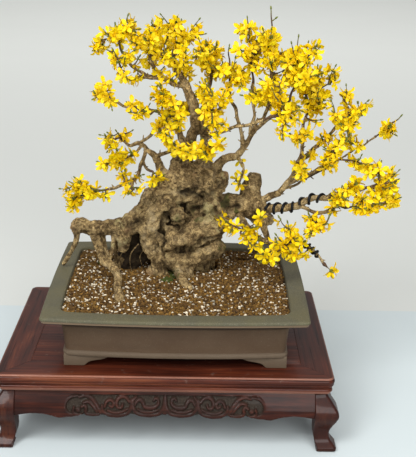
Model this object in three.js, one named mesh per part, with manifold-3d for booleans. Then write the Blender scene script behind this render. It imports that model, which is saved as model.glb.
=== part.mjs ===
// A flowering forsythia bonsai in a shallow clay pot on a low carved stand.
// Millimetres, +Z up. Lengths are laid out from the middle of the stand on the floor, +X to the right
// and +Y away from the viewer. The whole group is then moved so that its bounding box stands centred.

import * as THREE from 'three';
import { mergeVertices } from 'three/addons/utils/BufferGeometryUtils.js';
import Module from 'manifold-3d';

const wasm = await Module();
wasm.setup();

// Fits
const SEAT_GAP = 0.3; // between pieces that rest on each other
const SOIL_GAP = 0.6; // round wood that stands in the soil

// Stand
const STAND_HALF_X = 321;
const STAND_HALF_Y = 210;
const STAND_TOP = 152;
const RAIL_WIDTH = 57;
const RAIL_BOTTOM = 117;
const MOULDING_SWELL = 3.5; // how far the moulding stands past the top's edge
const LEDGE_WIDTH = 10; // carries the panel
const LEDGE_TOP = 138;
const MITRE_GAP = 0.2; // each side of a mitre
const CORNER_RADIUS = 12;
const PANEL_REVEAL = 1.6; // dark line round the panel
const PANEL_DROP = 1.4;
const BATTEN_WIDTH = 40;
const BATTEN_HEIGHT = 14;
const BATTEN_X = 130;
const LEG_INSET = 32.5; // from the top's outer edge to the leg's inner faces
const LEG_CHAMFER = 5;
const LEG_TOP_SETBACK = 10; // from the top's edge
const APRON_THICKNESS = 16;
const APRON_SETBACK = 2; // behind the face of the legs
const APRON_LEAN = 21; // its foot stands out past its top
const APRON_BOTTOM = 60;

// Pot
const POT_X = 18;
const POT_Y = -3.5;
const POT_HALF_X = 250;
const POT_HALF_Y = 201.5;
const POT_TOP = 268;
const POT_SEAT = STAND_TOP + SEAT_GAP;
const POT_BODY_BOTTOM = 174;
const POT_FLOOR_TOP = 190;
const POT_BOW = 10; // the long sides swell outwards by this in the middle
const POT_END_BOW = 3.5;
const RIM_WIDTH = 34;
const FOOT_INSET = 37; // from the rim's edge
const FOOT_DEPTH = 15;
const SIDE_FOOT_SCALE = 0.75; // of a foot's length along the short sides
const DRAIN_RADIUS = 16;
const DRAIN_SIDES = 10;
const DRAIN_X = 110;
const SCREEN_SIZE = 48;
const SCREEN_THICKNESS = 1.4;
const SCREEN_HOLE = 9;

// Soil
const SOIL_TOP = 259;
const SOIL_MOUND = 4;

// Tree
const WOOD_SIDES = 7;
const ROOT_SIDES = 5;
const LIMB_SIDES = 4;
const LIMB_TIP = 10; // each limb's last stretch points at its spray
const BARK_SWELL = 0.13; // how far the trunk's ridges stand out, as a share of its radius

// Twigs and blooms
const TWIG_SIDES = 3;
const TWIG_RADIUS = 2;
const TWIG_TIP_RADIUS = 1.3;
const TWIG_ROOT_RADIUS = 0.8; // of a side twig, inside the first one
const NECK_LENGTH = 10; // a spray starts as thick as the limb's end
const TWIG_BARE = 0.12; // share of a twig's last stretch that is bare at its tip
const TWIG_FLOWERING = 1.4; // stretches that carry blooms, below the bare tip
const BLOOM_RADIUS = 16;
const BLOOM_NOTCH = 8; // radius between two petals
const BLOOM_LIFT = 11; // a petal's tip above the twig's middle line
const THROAT_LIFT = 7;
const STALK_LIFT = 4;
const STALK_RADIUS = 1.9;
const STALK_SINK = 0.9;
const BLOOM_STEP = 12; // along a twig
const BLOOM_ROOM = 0.7; // kept free round a bloom
const BLOOM_TRIES = 50;

// Training wire
const WIRE_RADIUS = 1.6;
const WIRE_CLEARANCE = 1.2;
const WIRE_STEPS = 6; // a turn
const WIRE_SIDES = 4;

const MATERIALS = {
  rosewood: new THREE.MeshStandardMaterial({ color: 0x5a2417, roughness: 0.32, metalness: 0 }),
  clay: new THREE.MeshStandardMaterial({ color: 0x6b5f50, roughness: 0.72, metalness: 0 }),
  soil: new THREE.MeshStandardMaterial({ color: 0x8a6238, roughness: 0.95, metalness: 0 }),
  bark: new THREE.MeshStandardMaterial({ color: 0x8b7254, roughness: 0.88, metalness: 0 }),
  blossom: new THREE.MeshStandardMaterial({ color: 0xf2c80a, roughness: 0.6, metalness: 0 }),
  wire: new THREE.MeshStandardMaterial({ color: 0x17171a, roughness: 0.45, metalness: 0.6 }),
  mesh: new THREE.MeshStandardMaterial({ color: 0x20221f, roughness: 0.7, metalness: 0 }),
};

// Trunk, roots and limbs: stretches of [x, y, z, radius]. All of them are joined into one body.
const TRUNK = {
  leftButtress: [
    [25, 48, 458, 34], [-5, 44, 438, 36], [-33, 40, 402, 34], [-59, 38, 377, 28], [-90, 36, 364, 20],
    [-126, 34, 360, 16], [-161, 33, 360, 13.5], [-190, 32, 364, 13], [-201, 32, 364, 7],
  ],
  leftColumn: [
    [-8, 36, 425, 32], [-36, 30, 376, 27], [-38, 28, 337, 21], [-24, 28, 302, 17], [-20, 30, 244, 17],
  ],
  stub: [[-14, 28, 280, 13], [-28, 28, 271, 12], [-43, 27, 261, 10]],
  crownMass: [
    [-2, 46, 450, 26], [15, 48, 454, 34], [60, 50, 456, 38], [94, 48, 457, 30], [106, 48, 458, 18],
  ],
  knob: [[88, 46, 458, 24], [104, 41, 470, 17], [110, 39, 475, 9]],
  upperLog: [
    [-18, 22, 333, 15], [-8, 22, 340, 23], [27, 22, 347, 27], [61, 26, 361, 28], [92, 32, 377, 25],
    [118, 40, 392, 20], [128, 42, 397, 11],
  ],
  lowerLog: [
    [-8, 22, 289, 14], [1, 22, 292, 20], [33, 26, 300, 21], [70, 32, 311, 19], [101, 38, 321, 17],
    [111, 40, 324, 9],
  ],
  burl: [[5, 22, 386, 10], [13, 16, 392, 19], [20, 13, 400, 17], [26, 12, 408, 8]],
  hollowLimb: [[60, 50, 407, 26], [105, 46, 411, 22], [138, 48, 410, 19], [166, 54, 408, 17]],
  snag: [
    [173, 56, 470, 7], [171, 56, 460, 12], [166, 56, 435, 15], [169, 54, 405, 25], [188, 52, 385, 18],
    [205, 50, 375, 11], [211, 50, 371, 6],
  ],
  stick: [[184, 50, 381, 10], [194, 46, 357, 7], [202, 42, 337, 5.5]],
  backMass: [
    [60, 68, 452, 26], [60, 72, 440, 36], [52, 80, 382, 42], [53, 80, 319, 42], [62, 80, 270, 42],
    [64, 80, 236, 40],
  ],
  backRootLeft: [[36, 96, 330, 24], [-6, 116, 300, 16], [-46, 126, 272, 11], [-72, 130, 250, 7]],
  backRootRight: [[80, 96, 320, 24], [118, 108, 290, 16], [146, 116, 266, 10], [166, 122, 246, 6]],
  flare: [[25, 24, 318, 22], [30, 20, 284, 19], [34, 18, 246, 19]],
};

const ROOTS = {
  finger: [[13, 14, 287, 11], [26, -16, 271, 9], [43, -44, 259, 7], [50, -56, 248, 5]],
  rimRoot: [
    [-189, 32, 357, 8], [-192, 34, 333, 5.5], [-206, 38, 302, 4.8], [-219, 45, 279, 4.4],
    [-223, 46, 273.2, 3.6],
  ],
  longRoot: [
    [-153, 34, 353, 12], [-143, 22, 318, 9], [-134, 5, 301, 8.5], [-115, -14, 294, 8.5],
    [-100, -45, 283, 8], [-99, -70, 272, 7.5], [-94, -93, 263, 9], [-95, -120, 254, 5],
  ],
  longRootBack: [[-142, 46, 344, 9], [-136, 42, 315, 6], [-123, 4, 297, 5]],
  thinRoot: [[-116, 36, 351, 6], [-116, 30, 327, 4], [-119, 8, 309, 3.6], [-122, -4, 298, 3.6]],
  threadRoot: [[-106, 40, 350, 6], [-112, 48, 330, 3.6], [-114, 58, 300, 3], [-118, 80, 250, 3]],
  hangingChunk: [[-98, 34, 360, 22], [-94, 32, 331, 14], [-98, 32, 309, 7]],
  rightThreadA: [[73, 50, 306, 4], [74, 80, 284, 3], [74, 98, 246, 3]],
  rightThreadB: [[89, 55, 309, 4], [91, 84, 282, 3], [92, 100, 246, 3]],
};

const LIMBS = {
  leftArmTwig: [
    [2, 48, 446, 16], [-7, 46, 465, 11], [-19, 40, 489, 8.5], [-28, 33, 511, 7], [-46, 38, 525, 5.6],
    [-65, 44, 539, 4.6], [-82, 40, 533, 3.2],
  ],
  leftFork: [[-28, 33, 511, 5], [-10, 20, 523, 4], [4, 8, 531, 3.4]],
  leftArmUp: [[-65, 44, 537, 4], [-52, 36, 548, 3.6], [-38, 26, 560, 3.2]],
  leftArmLow: [[-58, 42, 532, 3.6], [-74, 36, 514, 3]],
  leftDrop: [
    [-46, 38, 524, 5], [-57, 33, 504, 4.6], [-69, 24, 468, 4], [-84, 24, 457, 3.6], [-115, 20, 446, 3],
  ],
  leftDropTuft: [[-73, 24, 464, 3.6], [-75, 14, 460, 3]],
  leftInner: [[-56, 34, 504, 3.6], [-46, 27, 488, 3]],
  darkLimb: [[33, 48, 522, 9], [19, 38, 556, 7], [11, 28, 588, 6.5], [9, 18, 618, 6]],
  darkLimbLeft: [[10, 22, 604, 4.4], [-18, 16, 610, 3.8], [-66, 16, 613, 3.3], [-101, 22, 620, 3]],
  darkLimbMid: [[-34, 15, 612, 3.4], [-42, 6, 604, 3]],
  leader: [
    [15, 50, 466, 26], [21, 50, 489, 21], [30, 50, 518, 14], [48, 58, 566, 10], [43, 64, 617, 9],
    [29, 66, 648, 8], [7, 64, 707, 6],
  ],
  leaderTwin: [
    [66, 52, 466, 28], [69, 57, 492, 18], [68, 61, 522, 11], [64, 66, 576, 8], [69, 74, 611, 6],
    [73, 80, 634, 5],
  ],
  leaderBack: [[24, 66, 660, 5], [14, 92, 672, 4.4], [2, 116, 682, 3.6]],
  leftShelf: [[29, 66, 648, 6], [-4, 52, 660, 5.5], [-48, 36, 671, 5], [-88, 16, 671, 3.2]],
  shelfUpA: [[-13, 48, 661, 4.5], [-38, 44, 706, 3.6]],
  shelfUpB: [[-48, 36, 671, 4], [-88, 42, 706, 3.2]],
  centreFront: [[69, 56, 500, 10], [76, 36, 514, 5], [79, 24, 520, 4]],
  centreTop: [[66, 63, 540, 6], [72, 50, 558, 4.2], [76, 38, 572, 3.6]],
  branchAUp: [[146, 44, 528, 4.5], [137, 54, 580, 4], [118, 62, 634, 3.6]],
  branchARight: [
    [80, 50, 470, 20], [92, 54, 487, 12], [107, 50, 501, 8.5], [133, 46, 515, 7], [146, 44, 528, 6],
    [159, 38, 554, 5.2], [179, 30, 583, 4.6], [228, 18, 620, 3.8],
  ],
  branchAMid: [[159, 38, 554, 4], [163, 50, 604, 3.7], [160, 54, 650, 3.4]],
  branchATop: [[179, 30, 583, 4], [192, 34, 624, 3.8], [194, 36, 694, 3.4]],
  crossing: [[70, 60, 541, 5], [96, 34, 566, 4], [136, 14, 582, 3.6], [176, 0, 594, 3.2]],
  hanging: [[136, 46, 516, 3.4], [146, 38, 486, 2.8], [138, 32, 453, 2.4]],
  branchBUp: [[256, 32, 504, 4], [264, 36, 550, 3.6], [266, 40, 586, 3.4]],
  branchBLow: [[264, 36, 548, 3.4], [254, 22, 552, 3]],
  branchBRight: [
    [168, 54, 404, 14], [182, 53, 414, 8.5], [199, 50, 424, 7], [222, 44, 439, 6.5], [241, 38, 465, 6],
    [256, 32, 506, 5.5], [272, 28, 526, 5], [300, 34, 547, 4], [323, 42, 574, 3.6],
  ],
  branchC: [[229, 42, 449, 4.5], [270, 34, 477, 4], [301, 24, 497, 3.6]],
  whip: [
    [214, 46, 434, 4.5], [262, 52, 458, 4], [308, 50, 484, 3.6], [352, 44, 520, 3.2], [396, 30, 556, 3],
  ],
  branchE: [
    [172, 52, 398, 14], [186, 48, 404, 9.5], [199, 44, 405, 8.5], [226, 34, 411, 8], [257, 22, 420, 7],
    [286, 14, 438, 6.5], [318, 4, 442, 5.5], [350, -6, 456, 5], [366, -10, 459, 4],
  ],
  branchEUp: [[318, 4, 442, 4], [321, -10, 452, 3.2]],
  branchF: [[259, 22, 418, 5], [288, 4, 413, 4.5], [314, -8, 420, 4.2], [336, -18, 432, 4]],
  branchFDown: [[288, 4, 412, 3.6], [290, -9, 404, 3.2]],
  lowSide: [[150, 30, 378, 4.4], [149, 18, 376, 3.2]],
  lowFront: [[223, -2, 344, 4], [222, -14, 341, 3.2]],
  lowWired: [
    [128, 46, 402, 12], [138, 42, 396, 8.5], [152, 28, 375, 7], [173, 16, 358, 6], [197, 6, 345, 5],
    [223, -2, 344, 4.6], [246, -8, 351, 4.4], [262, -12, 351, 4], [282, -16, 346, 3.4],
    [292, -19, 334, 3.2], [303, -21, 323, 3],
  ],
  backRight: [[159, 38, 554, 4.4], [172, 84, 572, 3.8], [194, 130, 582, 3.2]],
  backLeft: [[64, 66, 576, 5], [56, 104, 580, 4], [44, 134, 578, 3.2]],
};

// Flowering sprays: the limb that each grows from, and where its twigs end.
const SPRAYS = {
  left_leader: ['leader', [[22, 60, 790], [50, 106, 752], [-8, 40, 764]]],
  left_shelf_inner: ['shelfUpA', [[-35, 14, 773], [-30, 88, 754]]],
  left_shelf_outer: ['shelfUpB', [[-80, 60, 779], [-113, 6, 752], [-140, 54, 732]]],
  left_shelf_end: ['leftShelf', [[-116, -10, 716], [-80, -22, 680]]],
  middle_leader: ['leaderTwin', [[68, 58, 716], [88, 108, 696], [96, 124, 664]]],
  left_crown_back: ['leaderBack', [[-12, 166, 738], [-66, 132, 722], [-50, 152, 672]]],
  left_front: ['darkLimb', [[-16, -24, 668], [-34, -40, 645], [12, -34, 626]]],
  left_far: ['darkLimbLeft', [[-124, 34, 662], [-146, 16, 630], [-110, 2, 614]]],
  left_mid: ['darkLimbMid', [[-70, -18, 612], [-44, -38, 624]]],
  left_arm_up: ['leftArmUp', [[0, -14, 604], [-16, -34, 576], [-20, -6, 590]]],
  left_arm_end: ['leftArmTwig', [[-100, 24, 574], [-90, 62, 548], [-140, 56, 532]]],
  left_arm_low: ['leftArmLow', [[-112, 22, 500], [-128, 54, 488], [-92, -8, 512]]],
  left_inner: ['leftInner', [[-34, 6, 458], [-14, 2, 484]]],
  left_drop_end: ['leftDrop', [[-158, 6, 424], [-204, 30, 456], [-176, 38, 428]]],
  left_drop_tuft: ['leftDropTuft', [[-60, -22, 464], [-78, -26, 456]]],
  front_left: ['leftFork', [[8, -40, 552], [40, -28, 532], [38, -42, 556]]],
  front_right: ['centreFront', [[64, -20, 530], [92, -20, 548], [96, -8, 520]]],
  centre: ['centreTop', [[80, 14, 644], [102, 16, 618], [80, -8, 596]]],
  crossing: ['crossing', [[240, -36, 626], [208, -36, 588], [226, -10, 642]]],
  middle_up: ['branchAUp', [[114, 60, 728], [140, 38, 704], [84, 38, 690]]],
  right_crown_left: ['branchAMid', [[148, 50, 784], [176, 84, 740], [134, 18, 730]]],
  right_crown_right: ['branchARight', [[242, 24, 752], [272, 4, 740], [250, -24, 676]]],
  right_crown_top: ['branchATop', [[190, 40, 801], [212, 66, 768], [180, -2, 756]]],
  right_up: ['branchBUp', [[284, 44, 694], [242, 64, 664], [322, 66, 664]]],
  right_outer: ['branchBRight', [[380, 34, 626], [340, 74, 630], [362, 12, 592]]],
  right_inner: ['branchBLow', [[232, -6, 570], [262, -34, 578]]],
  right_low: ['branchC', [[352, -12, 552], [334, -24, 512], [372, 16, 508]]],
  whip: ['whip', [[446, 4, 608], [446, -4, 574]]],
  wired_side: ['branchEUp', [[316, -44, 482], [340, -54, 458]]],
  wired_end: ['branchE', [[452, -30, 484], [420, 6, 498], [432, -26, 450]]],
  lower_wired_end: ['branchF', [[384, -58, 436], [364, -60, 444]]],
  lower_wired_side: ['branchFDown', [[266, -44, 386], [306, -50, 404]]],
  low_left: ['lowSide', [[116, -2, 388], [172, -22, 352]]],
  low_right: ['lowFront', [[248, -44, 372], [190, -42, 320], [228, -52, 332]]],
  low_tip: ['lowWired', [[327, -28, 299]]],
  back_right: ['backRight', [[206, 186, 632], [266, 190, 588], [168, 190, 596]]],
  back_left: ['backLeft', [[50, 192, 612], [-2, 176, 560]]],
};

// The stretches of limb that carry training wire: limb, first and last point along it, turns
const WIRES = {
  wire_inner: ['branchE', 2.0, 3.75, 4],
  wire_outer: ['branchE', 4.3, 5.8, 4],
  wire_low: ['lowWired', 7.4, 9.8, 4],
};

// A random draw that always gives the same numbers
function seededDraw(seed) {
  let state = seed >>> 0;
  return () => {
    state = (state + 0x6d2b79f5) >>> 0;
    let t = state;
    t = Math.imul(t ^ (t >>> 15), t | 1);
    t ^= t + Math.imul(t ^ (t >>> 7), t | 61);
    return ((t ^ (t >>> 14)) >>> 0) / 4294967296;
  };
}

// Solids, joined and cut
function solidOf(geometry) {
  const bare = geometry.clone();
  bare.deleteAttribute('normal');
  bare.deleteAttribute('uv');
  const merged = mergeVertices(bare, 1e-3);
  return new wasm.Manifold(
    new wasm.Mesh({
      numProp: 3,
      vertProperties: Float32Array.from(merged.attributes.position.array),
      triVerts: Uint32Array.from(merged.index.array),
    }),
  );
}

function geometryOf(solid) {
  const mesh = solid.getMesh();
  const geometry = new THREE.BufferGeometry();
  geometry.setAttribute('position', new THREE.BufferAttribute(Float32Array.from(mesh.vertProperties), 3));
  geometry.setIndex(new THREE.BufferAttribute(Uint32Array.from(mesh.triVerts), 1));
  geometry.computeVertexNormals();
  return geometry;
}

const joined = (solids) => solids.reduce((whole, piece) => whole.add(piece));

// A closed body through rings of points, each anticlockwise seen from the far end
function loft(rings) {
  const count = rings[0].length;
  const positions = rings.flat().flatMap((p) => [p.x, p.y, p.z]);
  const faces = [];
  for (let i = 0; i + 1 < rings.length; i += 1) {
    for (let j = 0; j < count; j += 1) {
      const a = i * count + j;
      const b = i * count + ((j + 1) % count);
      faces.push(a, b, b + count, a, b + count, a + count);
    }
  }
  const last = (rings.length - 1) * count;
  for (let j = 1; j + 1 < count; j += 1) {
    faces.push(0, j + 1, j, last, last + j, last + j + 1);
  }
  const geometry = new THREE.BufferGeometry();
  geometry.setAttribute('position', new THREE.Float32BufferAttribute(positions, 3));
  geometry.setIndex(faces);
  return geometry;
}

const point = ([x, y, z]) => new THREE.Vector3(x, y, z);
const blend = (a, b, share) => a + (b - a) * share;

// Directions across a route at each of its points, turned as little as possible from one to the next
function framesAlong(route) {
  const frames = [];
  let across = null;
  let before = null;
  route.forEach((here, i) => {
    const back = route[Math.max(i - 1, 0)];
    const ahead = route[Math.min(i + 1, route.length - 1)];
    const into = here.clone().sub(back).normalize();
    const out = ahead.clone().sub(here).normalize();
    const along = into.add(out).normalize();
    if (across === null) {
      const helper = Math.abs(along.z) < 0.8 ? new THREE.Vector3(0, 0, 1) : new THREE.Vector3(0, 1, 0);
      across = helper.clone().cross(along).normalize();
    } else {
      across = across.clone().applyQuaternion(new THREE.Quaternion().setFromUnitVectors(before, along));
    }
    before = along;
    frames.push({ along, across, up: along.clone().cross(across) });
  });
  return frames;
}

// The middle, and the directions across, at a place along a route such as 2.4
function placeAlong(route, frames, place) {
  const index = Math.min(Math.floor(place), route.length - 2);
  const share = place - index;
  const middle = route[index].clone().lerp(route[index + 1], share);
  const across = frames[index].across.clone().lerp(frames[index + 1].across, share).normalize();
  const up = frames[index].up.clone().lerp(frames[index + 1].up, share).normalize();
  const along = route[index + 1].clone().sub(route[index]).normalize();
  return { middle, across, up, along, index, share };
}

// A round body along [x, y, z, radius] points. Ridges swell and sink round a trunk's stretches.
function limbGeometry(points, sides, extra = 0, swell = 0, phase = 0) {
  const route = points.map(point);
  const frames = framesAlong(route);
  const rings = points.map(([, , , radius], i) => {
    const ring = [];
    for (let j = 0; j < sides; j += 1) {
      const angle = (j / sides) * 2 * Math.PI;
      const ridge = 1 + swell * Math.sin(3 * angle + phase + 1.7 * i) * Math.cos(1.3 * i + phase);
      const reach = radius * ridge + extra;
      ring.push(
        route[i].clone()
          .addScaledVector(frames[i].across, Math.cos(angle) * reach)
          .addScaledVector(frames[i].up, Math.sin(angle) * reach),
      );
    }
    return ring;
  });
  return loft(rings);
}

// Stand: the moulded edge of its rails, as distance past the rail's width and height above its underside
const RAIL_MOULDING = [
  [-8, 0],
  [-4, 2],
  [-2.5, 5],
  [-3.5, 9.5],
  [-3.5, 14],
  [2, 20],
  [MOULDING_SWELL, 26],
  [2, 31],
  [-2, 34],
  [-6, STAND_TOP - RAIL_BOTTOM],
];

function railProfile() {
  const shape = new THREE.Shape();
  shape.moveTo(0, STAND_TOP);
  shape.lineTo(0, LEDGE_TOP);
  shape.lineTo(-LEDGE_WIDTH, LEDGE_TOP);
  shape.lineTo(-LEDGE_WIDTH, RAIL_BOTTOM);
  RAIL_MOULDING.forEach(([out, up]) => shape.lineTo(RAIL_WIDTH + out, RAIL_BOTTOM + up));
  return shape;
}

// One mitred rail: the profile's outward direction is -Y for the front rail
function railGeometry(innerHalf, innerFace) {
  const geometry = new THREE.ExtrudeGeometry(railProfile(), { depth: 1, steps: 1, bevelEnabled: false });
  const position = geometry.attributes.position;
  for (let i = 0; i < position.count; i += 1) {
    const outward = position.getX(i);
    const height = position.getY(i);
    const end = position.getZ(i) > 0.5 ? 1 : -1;
    position.setXYZ(i, -end * (innerHalf + outward - MITRE_GAP), -(innerFace + outward), height);
  }
  return geometry;
}

function roundedRectangle(halfX, halfY, radius) {
  const shape = new THREE.Shape();
  shape.absarc(halfX - radius, halfY - radius, radius, 0, Math.PI / 2);
  shape.absarc(radius - halfX, halfY - radius, radius, Math.PI / 2, Math.PI);
  shape.absarc(radius - halfX, radius - halfY, radius, Math.PI, 1.5 * Math.PI);
  shape.absarc(halfX - radius, radius - halfY, radius, 1.5 * Math.PI, 2 * Math.PI);
  return shape;
}

function block(sizeX, sizeY, sizeZ, x, y, z) {
  return new THREE.BoxGeometry(sizeX, sizeY, sizeZ).translate(x, y, z);
}

const INNER_X = STAND_HALF_X - RAIL_WIDTH;
const INNER_Y = STAND_HALF_Y - RAIL_WIDTH;

function standTop() {
  const swell = MOULDING_SWELL + 0.1;
  const outline = roundedRectangle(STAND_HALF_X + swell, STAND_HALF_Y + swell, CORNER_RADIUS);
  const trim = solidOf(
    new THREE.ExtrudeGeometry(outline, { depth: STAND_TOP, bevelEnabled: false, curveSegments: 3 }),
  );
  const long = railGeometry(INNER_X, INNER_Y);
  const short = railGeometry(INNER_Y, INNER_X);
  const quarter = Math.PI / 2;
  const rails = {
    stand_rail_front: long,
    stand_rail_back: long.clone().rotateZ(2 * quarter),
    stand_rail_left: short.clone().rotateZ(-quarter),
    stand_rail_right: short.clone().rotateZ(quarter),
  };
  const pieces = Object.entries(rails).map(([name, rail]) => {
    const trimmed = solidOf(rail).intersect(trim);
    return [name, geometryOf(trimmed)];
  });
  const panelTop = STAND_TOP - PANEL_DROP;
  const panelBottom = LEDGE_TOP + SEAT_GAP;
  pieces.push([
    'stand_panel',
    block(
      2 * (INNER_X - PANEL_REVEAL),
      2 * (INNER_Y - PANEL_REVEAL),
      panelTop - panelBottom,
      0,
      0,
      (panelTop + panelBottom) / 2,
    ),
  ]);
  const battenLength = 2 * (INNER_Y - LEDGE_WIDTH - SEAT_GAP);
  for (const [name, side] of [['stand_batten_left', -1], ['stand_batten_right', 1]]) {
    const middle = LEDGE_TOP - BATTEN_HEIGHT / 2;
    pieces.push([name, block(BATTEN_WIDTH, battenLength, BATTEN_HEIGHT, side * BATTEN_X, 0, middle)]);
  }
  return pieces;
}

// A leg at each height: its outer faces, measured out from the edge of the stand's top, and its inner faces
const LEG_LEVELS = [
  [0, 10, -25],
  [5, 12, -25],
  [12, 8.5, -26],
  [22, 0, -31],
  [38, -1, -LEG_INSET],
  [58, 7, -LEG_INSET],
  [72, 13, -LEG_INSET],
  [84, 12, -LEG_INSET],
  [97, 4, -LEG_INSET],
  [RAIL_BOTTOM - SEAT_GAP, -LEG_TOP_SETBACK, -LEG_INSET],
];

function legGeometry() {
  const rings = LEG_LEVELS.map(([z, outer, inner]) => {
    const outX = STAND_HALF_X + outer;
    const outY = STAND_HALF_Y + outer;
    const inX = STAND_HALF_X + inner;
    const inY = STAND_HALF_Y + inner;
    return [
      new THREE.Vector3(inX, inY, z),
      new THREE.Vector3(outX, inY, z),
      new THREE.Vector3(outX, outY - LEG_CHAMFER, z),
      new THREE.Vector3(outX - LEG_CHAMFER, outY, z),
      new THREE.Vector3(inX, outY, z),
    ];
  });
  return loft(rings);
}

function standLegs() {
  const leg = legGeometry();
  const mirrored = (signX, signY) => {
    const copy = leg.clone().scale(signX, signY, 1);
    if (signX * signY > 0) {
      return copy;
    }
    const index = copy.index.array;
    for (let i = 0; i < index.length; i += 3) {
      [index[i], index[i + 1]] = [index[i + 1], index[i]];
    }
    return copy;
  };
  return [
    ['stand_leg_front_left', mirrored(-1, -1)],
    ['stand_leg_front_right', mirrored(1, -1)],
    ['stand_leg_back_left', mirrored(-1, 1)],
    ['stand_leg_back_right', mirrored(1, 1)],
  ];
}

// The apron's lower edge from its end to the middle: distance from the end, and height
const APRON_EDGE = [[0, 70], [18, 73.5], [38, 75], [60, 73], [83, 66], [98, 68]];
const APRON_LOBES = [63, 66, 62, 65, 61, 64.5, APRON_BOTTOM];

// A front apron. Its face leans out to follow the knees of the legs.
function apronGeometry(halfLength, standHalf) {
  const end = halfLength - LEG_INSET - SEAT_GAP;
  const top = RAIL_BOTTOM - SEAT_GAP;
  const half = APRON_EDGE.map(([in_, z]) => [end - in_, z]);
  const carved = half[half.length - 1][0];
  APRON_LOBES.forEach((z, i) => half.push([carved * (1 - (i + 1) / APRON_LOBES.length), z]));
  const shape = new THREE.Shape();
  shape.moveTo(-end, top);
  half.forEach(([x, z]) => shape.lineTo(-x, z));
  half.slice(0, -1).reverse().forEach(([x, z]) => shape.lineTo(x, z));
  shape.lineTo(end, top);
  const geometry = new THREE.ExtrudeGeometry(shape, { depth: APRON_THICKNESS, bevelEnabled: false });
  const position = geometry.attributes.position;
  const topFace = standHalf - LEG_TOP_SETBACK - APRON_SETBACK;
  for (let i = 0; i < position.count; i += 1) {
    const x = position.getX(i);
    const z = position.getY(i);
    const face = topFace + (APRON_LEAN * (top - z)) / (top - APRON_BOTTOM);
    position.setXYZ(i, -x, -(face - position.getZ(i)), z);
  }
  return geometry;
}

function standAprons() {
  const long = apronGeometry(STAND_HALF_X, STAND_HALF_Y);
  const short = apronGeometry(STAND_HALF_Y, STAND_HALF_X);
  const quarter = Math.PI / 2;
  return [
    ['stand_apron_front', long],
    ['stand_apron_back', long.clone().rotateZ(2 * quarter)],
    ['stand_apron_left', short.clone().rotateZ(-quarter)],
    ['stand_apron_right', short.clone().rotateZ(quarter)],
  ];
}

// Pot: a ring round it, set in from the rim's outer edge, with rounded corners and bowed sides
function potRing(z, inset, radius) {
  const halfX = POT_HALF_X - inset;
  const halfY = POT_HALF_Y - inset;
  const cornerSteps = 2;
  const sideShares = [-0.5, 0, 0.5];
  const ring = [];
  const bowed = (x, y) => {
    const bowY = Math.sign(y) * POT_BOW * (1 - (x / halfX) ** 2);
    const bowX = Math.sign(x) * POT_END_BOW * (1 - (y / halfY) ** 2);
    ring.push(new THREE.Vector3(POT_X + x + bowX, POT_Y + y + bowY, z));
  };
  const corner = (signX, signY, start) => {
    for (let i = 0; i <= cornerSteps; i += 1) {
      const angle = start + ((Math.PI / 2) * i) / cornerSteps;
      const x = signX * (halfX - radius) + radius * Math.cos(angle);
      const y = signY * (halfY - radius) + radius * Math.sin(angle);
      bowed(x, y);
    }
  };
  corner(1, -1, -Math.PI / 2);
  bowed(halfX, 0);
  corner(1, 1, 0);
  sideShares.forEach((share) => bowed(-share * halfX, halfY));
  corner(-1, 1, Math.PI / 2);
  bowed(-halfX, 0);
  corner(-1, -1, Math.PI);
  sideShares.forEach((share) => bowed(share * halfX, -halfY));
  return ring;
}

// The pot's outside and inside: height, how far in from the rim's edge, and corner radius
const POT_OUTSIDE = [
  [POT_BODY_BOTTOM, 36, 12],
  [POT_BODY_BOTTOM + 9, 36, 12],
  [POT_BODY_BOTTOM + 11, 39, 12],
  [225, 36, 14],
  [240, 31, 16],
  [248, 23, 16],
  [256, 21, 12],
  [257.5, 0.5, 7],
  [266, 0, 7],
  [POT_TOP, 2, 6],
];
const POT_INSIDE = [
  [POT_FLOOR_TOP, 54, 16],
  [240, 46, 18],
  [256, RIM_WIDTH + 2, 18],
  [POT_TOP + 1, RIM_WIDTH, 18],
];

// One foot's outline along a side: distance in from the corner, and height above the stand
const FOOT_OUTLINE = [[0, 0], [38, 0], [45, 4], [51, 9], [62, 12], [76, 14.5], [90, 21]];

function footSolid() {
  const rise = POT_BODY_BOTTOM + 4 - POT_SEAT;
  const outline = (scale) => {
    const shape = new THREE.Shape();
    shape.moveTo(0, 0);
    FOOT_OUTLINE.slice(1).forEach(([x, z]) => shape.lineTo(x * scale, z));
    shape.lineTo(FOOT_OUTLINE[FOOT_OUTLINE.length - 1][0] * scale, rise);
    shape.lineTo(0, rise);
    return new THREE.ExtrudeGeometry(shape, { depth: FOOT_DEPTH, bevelEnabled: false });
  };
  // the shape's X runs in from the corner, its Y runs up
  const front = outline(1).rotateX(Math.PI / 2).translate(0, FOOT_DEPTH, 0);
  const side = outline(SIDE_FOOT_SCALE).rotateX(Math.PI / 2).rotateZ(Math.PI / 2);
  return solidOf(front).add(solidOf(side));
}

function potSolid() {
  const outside = solidOf(loft(POT_OUTSIDE.map(([z, inset, radius]) => potRing(z, inset, radius))));
  const inside = solidOf(loft(POT_INSIDE.map(([z, inset, radius]) => potRing(z, inset, radius))));
  let pot = outside.subtract(inside);
  const footX = POT_HALF_X - FOOT_INSET;
  const footY = POT_HALF_Y - FOOT_INSET;
  const drainLength = 60;
  for (const signX of [-1, 1]) {
    for (const signY of [-1, 1]) {
      const foot = footSolid().scale([-signX, -signY, 1]);
      pot = pot.add(foot.translate([POT_X + signX * footX, POT_Y + signY * footY, POT_SEAT]));
    }
    const drain = new THREE.CylinderGeometry(DRAIN_RADIUS, DRAIN_RADIUS, drainLength, DRAIN_SIDES);
    drain.rotateX(Math.PI / 2).translate(POT_X + signX * DRAIN_X, POT_Y, POT_BODY_BOTTOM);
    pot = pot.subtract(solidOf(drain));
  }
  return pot;
}

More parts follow.
